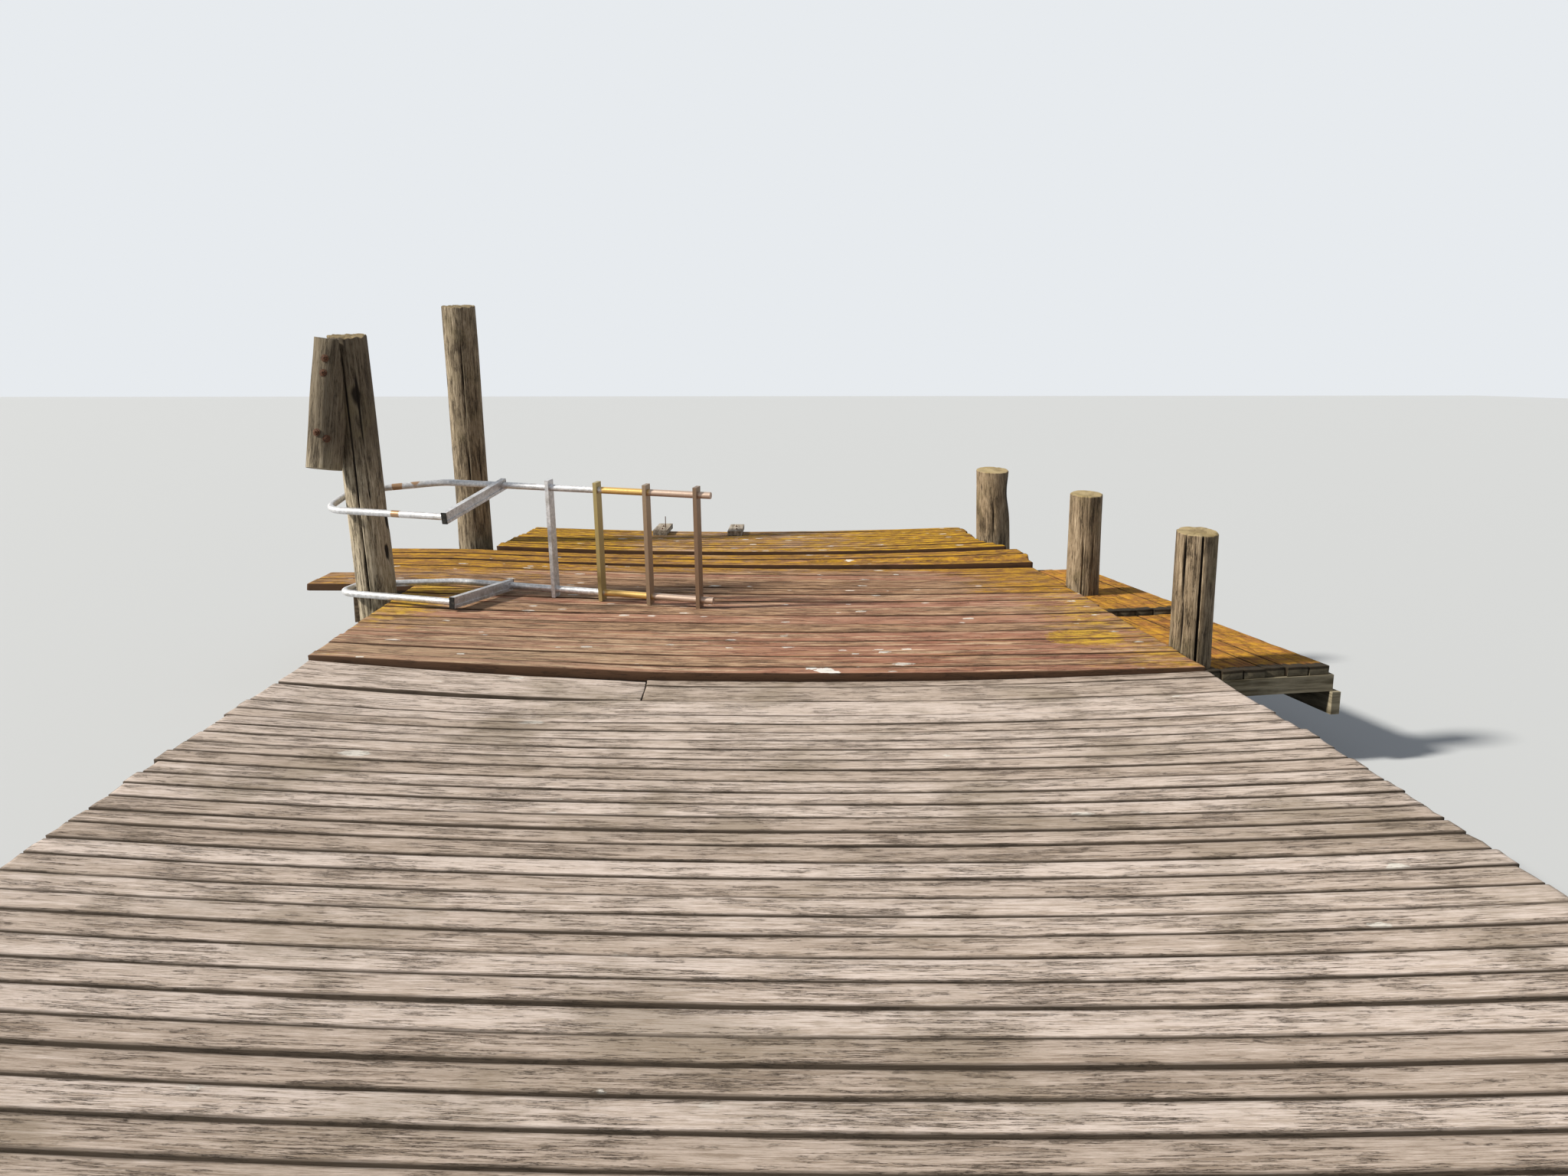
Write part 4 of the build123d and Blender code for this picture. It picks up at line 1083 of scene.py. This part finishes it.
def measure_pile(node):
    """Centre, radius and height difference of a CAD pile's foot and of its sawn top."""
    points = [point.co.copy() for point in nodes[node].data.vertices]
    highest = max(point.z for point in points)
    rings = []
    for ring in ([p for p in points if p.z < FOOT_BAND], [p for p in points if p.z > highest - TOP_BAND]):
        low_x, high_x = min(p.x for p in ring), max(p.x for p in ring)
        low_y, high_y = min(p.y for p in ring), max(p.y for p in ring)
        low_z, high_z = min(p.z for p in ring), max(p.z for p in ring)
        centre = Vector(((low_x + high_x) / 2, (low_y + high_y) / 2, (low_z + high_z) / 2))
        rings.append((centre, (high_y - low_y) / 2, high_z - low_z))
    return rings


print("near left pile's top:", [round(v, 3) for v in measure_pile("near_left_pile")[1][0]])

# %% [markdown]
# ## A blank for a trunk
# A trunk starts as a cylinder. Its upright edges are divided, so that it has rings of points to push in and
# out, and its top is inset three times, so that the rim can be worn and the cut can be rough. Sculpting
# would need a far denser mesh for the same shape.

# %% A blank for a trunk
TOP_INSETS = (0.005, 0.02, 0.03)


def round_timber(name, sides, cuts, radius, height):
    """A cylinder with divided sides and an inset top, standing on the origin."""
    middle = (0, 0, height / 2)
    bpy.ops.mesh.primitive_cylinder_add(vertices=sides, radius=radius, depth=height, location=middle)
    timber = bpy.context.object
    timber.name = name
    bpy.ops.object.transform_apply(location=True, rotation=True, scale=True)
    select_edges(timber.data, lambda a, b: abs(a.z - b.z) > height / 2)
    bpy.ops.object.mode_set(mode="EDIT")
    bpy.ops.mesh.select_mode(type="EDGE")
    bpy.ops.mesh.subdivide(number_cuts=cuts)
    bpy.ops.object.mode_set(mode="OBJECT")
    select_none(timber.data)
    for face in timber.data.polygons:
        face.select = face.normal.z > 0.9
    bpy.ops.object.mode_set(mode="EDIT")
    bpy.ops.mesh.select_mode(type="FACE")
    for thickness in TOP_INSETS:
        bpy.ops.mesh.inset(thickness=thickness)
    bpy.ops.object.mode_set(mode="OBJECT")
    return timber


def bark(angle, z, shift, lump_pace, fibre_pace):
    """Slow lumps and fine fibres around a trunk and along it, both from -1 to 1."""
    across, away = math.cos(angle), math.sin(angle)
    lump = noise.noise(Vector((across * 1.4, away * 1.4, z * lump_pace)) + shift)
    fibre = noise.noise(Vector((across * 14, away * 14, z * fibre_pace)) + shift)
    return lump, fibre


print("a trunk's top is inset", len(TOP_INSETS), "times")

# %% [markdown]
# ## Cracks and knot holes
# A trunk dries from outside and splits in long upright cracks that wander a little, and knots leave
# hollows. A crack could be a Boolean cut with a thin wedge, but it would leave ragged faces. Here the points
# near a crack are simply pushed in, most of all in its middle, and the same depth darkens the material as
# painted shade.

# %% Cracks and dents
CRACK_WANDER = 0.10
CRACK_FADE = 0.12


def turn_between(angle, degrees):
    """The turn from a direction in degrees to an angle, between half a turn back and half a turn on."""
    return (angle - math.radians(degrees) + math.pi) % (2 * math.pi) - math.pi


def crack_depth(angle, z, cracks):
    """How far the drying cracks cut in at a place; each is (angle, low, high, depth, half width)."""
    depth = 0.0
    for centre, low, high, deep, half in cracks:
        wander = noise.noise(Vector((z * 2.5, centre, 0))) * CRACK_WANDER
        off = turn_between(angle - wander, centre)
        if low < z < high:
            fade = min(1.0, (z - low) / CRACK_FADE, (high - z) / CRACK_FADE + 0.3)
            depth = max(depth, deep * fade * max(0.0, 1 - abs(off) / half))
    return depth


def dent_depth(angle, z, radius, dents):
    """How far the knot holes cut in at a place; each is (angle, height, size, depth)."""
    depth = 0.0
    for centre, height, size, deep in dents:
        spread = (turn_between(angle, centre) * radius / size) ** 2 + ((z - height) / (size * 1.8)) ** 2
        depth += deep * math.exp(-spread)
    return depth


print("a crack fades out over", CRACK_FADE, "m")

# %% [markdown]
# ## Mooring piles
# Now each ring of the blank is moved onto the CAD pile's leaning axis, given its radius, and shaped with
# lumps, knots and cracks. The near left pile is the roughest: deep cracks, three knot holes and a torn top.
# Angles are seen from above, and -90 degrees is the side towards the shore.

# %% Piles
PILE_SIDES = 72
PILE_CUTS = 44
BARK_LOSS = 0.003
LUMP_HEIGHT = 0.004
FIBRE_HEIGHT = 0.0022
RIM_WEAR = 0.004


def mooring_pile(name, node, finish, seed, cracks=(), dents=(), ragged=0.004):
    """A cracked trunk on a CAD pile's axis; ragged is how deep its sawn top is torn."""
    (foot, foot_radius, _), (top, top_radius, fall) = measure_pile(node)
    height = top.z
    timber = round_timber(name, PILE_SIDES, PILE_CUTS, foot_radius, height)
    shift = Vector((seed * 7.3, seed * 3.1, 0))
    slope = fall / (2 * top_radius)
    grain, ring, end, split = [], [], [], []
    for point in timber.data.vertices:
        share = point.co.z / height
        out = math.hypot(point.co.x, point.co.y)
        angle = math.atan2(point.co.y, point.co.x)
        radius = foot_radius + (top_radius - foot_radius) * share
        whole = out / foot_radius
        lump, fibre = bark(angle, point.co.z, shift, 1.7, 1.2)
        cut = crack_depth(angle, point.co.z, cracks) + dent_depth(angle, point.co.z, radius, dents)
        radius = (radius - BARK_LOSS + lump * LUMP_HEIGHT + fibre * FIBRE_HEIGHT - cut) * whole
        centre = foot.lerp(top, share)
        x = math.cos(angle) * radius
        y = math.sin(angle) * radius
        z = point.co.z
        on_top = z > height - 0.0001
        if on_top:
            z += y * slope - RIM_WEAR * (whole > 0.97) - 0.002
            z -= ragged * max(0.0, noise.noise(Vector((x * 30, y * 30, seed))) + 0.2) * (0.4 + 0.6 * whole)
        grain.append(Vector((z, math.cos(angle) * 0.1, math.sin(angle) * 0.1)) + shift)
        split.append(cut)
        ring.append(out * (1 + 0.04 * math.cos(angle + seed)))
        end.append(1.0 if on_top and whole < 0.985 else 0.0)
        point.co = (centre.x + x, centre.y + y, max(0.0, z) if not on_top else z)
    carry(timber.data, grain, ring=ring, end=end, split=split)
    settle(join_pieces(name, [timber], finish), node)


mooring_pile(
    "near_left_trunk", "near_left_pile", DARK_PILE_FINISH, 1,
    cracks=[(-95, 0.5, 2.0, 0.012, 0.05), (-60, 0.9, 1.9, 0.01, 0.04), (-118, 0.4, 1.6, 0.008, 0.04)],
    dents=[(-20, 0.856, 0.02, 0.016), (5, 1.042, 0.025, 0.02), (-65, 1.74, 0.03, 0.012)],
    ragged=0.02,
)
mooring_pile(
    "far_left_trunk", "far_left_pile", TALL_PILE_FINISH, 2,
    cracks=[(-80, 1.0, 2.3, 0.01, 0.035), (-40, 0.6, 1.9, 0.009, 0.03), (-120, 0.6, 1.5, 0.008, 0.03)],
    ragged=0.016,
)
mooring_pile(
    "far_right_trunk", "far_right_pile", PILE_FINISH, 3,
    cracks=[(-100, 0.5, 1.1, 0.008, 0.03)],
    dents=[(-13, 0.97, 0.07, 0.02)],
)
mooring_pile(
    "middle_right_trunk", "middle_right_pile", PILE_FINISH, 4,
    cracks=[(-75, 0.5, 1.1, 0.008, 0.035), (-110, 0.4, 0.9, 0.008, 0.035)],
)
mooring_pile(
    "near_right_trunk", "near_right_pile", PILE_FINISH, 5,
    cracks=[(-142, 0.3, 1.16, 0.02, 0.06), (-95, 0.3, 1.16, 0.022, 0.06), (-118, 0.5, 0.9, 0.008, 0.03)],
)

# %% [markdown]
# ## Split log
# Half a log is bolted to the near left pile as a fender. It could be modelled as half a cylinder, but the
# flat side would have to be fitted to the leaning pile by hand. It is made like a pile, as a whole trunk,
# and then bisected: by the plane where it lies on the pile, and by the saw cut that it shares with the
# pile's top.

# %% Split log
LOG_TURN = Matrix.Rotation(math.radians(-2.8), 4, "Y") @ Matrix.Rotation(math.radians(50), 4, "Z")
LOG_LOW = (0.234, 0.748)  # distance from the pile's axis and height above the deck
LOG_HIGH = (0.084, 1.468)
LOG_LEAN = math.atan((LOG_LOW[0] - LOG_HIGH[0]) / (LOG_HIGH[1] - LOG_LOW[1]))
LOG_SIDES = 64
LOG_CUTS = 30
LOG_RADIUS = 0.1
LOG_LENGTH = 0.95
DECK_TOP = 0.6
SAW_SLOPE = math.radians(7)
TORN_BAND = 0.04  # the log is torn this far down from its top
TORN_DEPTH = 0.03


def whole_log(place, lean):
    """The trunk before it is split, leaning in the pile's own frame."""
    log = round_timber("split_log_trunk", LOG_SIDES, LOG_CUTS, LOG_RADIUS, LOG_LENGTH)
    shift = Vector((61.0, 12.0, 0.0))
    grain, ring, end = [], [], []
    for point in log.data.vertices:
        angle = math.atan2(point.co.y, point.co.x)
        lump, fibre = bark(angle, point.co.z, shift, 3.0, 1.5)
        scale = 1 + (-0.004 + lump * 0.006 + fibre * 0.003) / LOG_RADIUS
        grain.append(Vector((point.co.z, point.co.x, point.co.y)) + shift)
        ring.append(math.hypot(point.co.x, point.co.y))
        end.append(1.0 if point.co.z > LOG_LENGTH - 0.001 else 0.0)
        local = Vector((point.co.x * scale, point.co.y * scale, point.co.z))
        point.co = place @ (lean @ local)
    carry(log.data, grain, ring=ring, end=end)
    return join_pieces("split_log_trunk", [log], DARK_PILE_FINISH)


def split_log():
    """The half log as a piece; gives back its frame, for the bolts."""
    (foot, foot_radius, _), (top, _, _) = measure_pile("near_left_pile")
    axis = foot.lerp(top, DECK_TOP / top.z)
    place = Matrix.Translation(axis) @ LOG_TURN
    lean = Matrix.Translation((-LOG_LOW[0], 0, LOG_LOW[1])) @ Matrix.Rotation(LOG_LEAN, 4, "Y")
    piece = whole_log(place, lean)
    side = place.to_3x3() @ Vector((-1, 0, 0))
    split = axis + (place.to_3x3() @ Vector((-foot_radius + 0.001, 0, 0.9)))
    sawn = top - Vector((0, 0, 0.002))
    level = Vector((0, -math.sin(SAW_SLOPE), math.cos(SAW_SLOPE)))
    piece.select_set(True)
    bpy.context.view_layer.objects.active = piece
    bpy.ops.object.mode_set(mode="EDIT")
    bpy.ops.mesh.select_all(action="SELECT")
    bpy.ops.mesh.bisect(plane_co=split, plane_no=side, use_fill=True, clear_inner=True)
    bpy.ops.mesh.select_all(action="SELECT")
    bpy.ops.mesh.bisect(plane_co=sawn, plane_no=level, use_fill=True, clear_outer=True)
    bpy.ops.object.mode_set(mode="OBJECT")
    bpy.ops.object.select_all(action="DESELECT")
    for point in piece.data.vertices:
        if point.co.z > top.z - TORN_BAND:
            torn = noise.noise(Vector((point.co.x * 26, point.co.y * 26, 4.0)))
            point.co.z -= TORN_DEPTH * max(0.0, torn)
    settle(piece, "split_log")
    return place @ lean


LOG_FRAME = split_log()

# %% [markdown]
# ## One bolt
# The log is held by heavy rusty bolts, and the mooring blocks have smaller ones. A bolt is a round washer,
# a hexagonal head and the end of the thread: three cylinders with broken edges. At this size a cut thread
# wouldn't show, so the end is plain.

# %% The pattern bolt
BROKEN_EDGE = 0.0008
WASHER = (24, 0.021, 0.003, 0.0015)  # sides, radius, height and the height of its middle
BOLT_HEAD = (6, 0.014, 0.011, 0.0085)
THREAD_END = (12, 0.006, 0.012, 0.018)


def iron_rod(sides, radius, height, middle):
    """A short cylinder with broken edges, upright with its middle at a place."""
    bpy.ops.mesh.primitive_cylinder_add(vertices=sides, radius=radius, depth=height, location=middle)
    bpy.ops.object.transform_apply(location=True, rotation=True, scale=True)
    rod = bpy.context.object
    bpy.ops.object.mode_set(mode="EDIT")
    bpy.ops.mesh.select_all(action="SELECT")
    bpy.ops.mesh.bevel(offset=BROKEN_EDGE, segments=2, affect="EDGES")
    bpy.ops.object.mode_set(mode="OBJECT")
    bpy.ops.object.select_all(action="DESELECT")
    return rod


bolt_parts = []
for sides, radius, height, middle in (WASHER, BOLT_HEAD, THREAD_END):
    bolt_parts.append(iron_rod(sides, radius, height, (0, 0, middle)))
BOLT = join_pieces("pattern_bolt", bolt_parts, IRON)
print("pattern bolt:", len(BOLT.data.vertices), "points")

# %% [markdown]
# ## Placing the bolts
# Each place gets a copy of the bolt with its own mesh, turned to look away from the timber. A linked copy
# would be lighter, but the pieces are joined in the end, and a joined mesh needs its own points. The left
# mooring block also has a thin rod standing on it.

# %% Bolts
LOG_BOLTS = ((0.591, -139.7), (0.512, -141.8), (0.190, -150.2), (0.161, -119.4))  # metres up, degrees round
BOLT_SEAT = 0.099
BLOCK_BOLT_XS = {"left_mooring_block": -0.62, "right_mooring_block": -0.03}
BLOCK_BOLT_YS = (7.86, 8.02)
BLOCK_BOLT_SIZE = 0.5
THIN_ROD = (12, 0.0035, 0.11, (-0.60, 7.95, 0.67))


def place_bolt(place, direction, size=1.0):
    """A copy of the bolt, standing on a place and looking in a direction."""
    mesh = BOLT.data.copy()
    mesh.transform(Matrix.Scale(size, 4))
    bolt = bpy.data.objects.new("bolt", mesh)
    bpy.context.collection.objects.link(bolt)
    turn = Vector(direction).to_track_quat("Z", "Y").to_matrix().to_4x4()
    mesh.transform(Matrix.Translation(place) @ turn)
    return bolt


bolts = []
for along, degrees in LOG_BOLTS:
    side = Vector((math.cos(math.radians(degrees)), math.sin(math.radians(degrees)), 0))
    seat = LOG_FRAME @ (side * BOLT_SEAT + Vector((0, 0, along)))
    bolts.append(place_bolt(seat, LOG_FRAME.to_3x3() @ side))
for node, x in BLOCK_BOLT_XS.items():
    for y in BLOCK_BOLT_YS:
        top = Vector((x, y, surface(nodes[node], x, y)))
        bolts.append(place_bolt(top, (0, 0, 1), BLOCK_BOLT_SIZE))
bolts.append(iron_rod(*THIN_ROD))
settle(join_pieces("iron_bolts", bolts, IRON))

# %% [markdown]
# ## Finishes for the pieces that keep their CAD shape
# Beams, short piles, mooring blocks and the ladder already have the right shape, and a copy would only be
# one more thing to keep in step. So the CAD nodes stay, and their slots get the finishes above.

# %% Give the CAD pieces their finishes
def finish_nodes(names, finish):
    for name in names:
        slots = nodes[name].data.materials
        for index in range(len(slots)):
            slots[index] = finish
        if not len(slots):
            slots.append(finish)


headers = [name for name in nodes if name.endswith("_header")]
finish_nodes(headers, CROSS_BEAM)
finish_nodes(
    ["landing_stringers", "main_stringers", "step_strips", "head_side_beam", "platform_stringers"], LONG_BEAM
)
finish_nodes(["wing_fascia", "wing_bearers", "wing_outer_runner", "wing_inner_runner"], WING_BEAM)
finish_nodes(
    ["shore_left_pile", "shore_middle_pile", "shore_right_pile", "landing_piles", "seam_piles", "head_piles",
     "end_piles", "wing_piles"],
    WET_PILE,
)
finish_nodes(
    ["ladder_lower_rail", "ladder_upper_rail", "ladder_lower_foot_bar", "ladder_upper_foot_bar"], RAIL_METAL
)
finish_nodes(["ladder_rungs"], RUNG_METAL)
finish_nodes(["foot_bar_plugs"], PLASTIC)
finish_nodes(["left_mooring_block", "right_mooring_block"], BLOCK)
print("headers:", headers)

# %% [markdown]
# ## Close the scene
# The pattern board and bolt were only templates, so they go.

# %% Remove the templates
for pattern in (BOARD, BOLT):
    bpy.data.objects.remove(pattern)
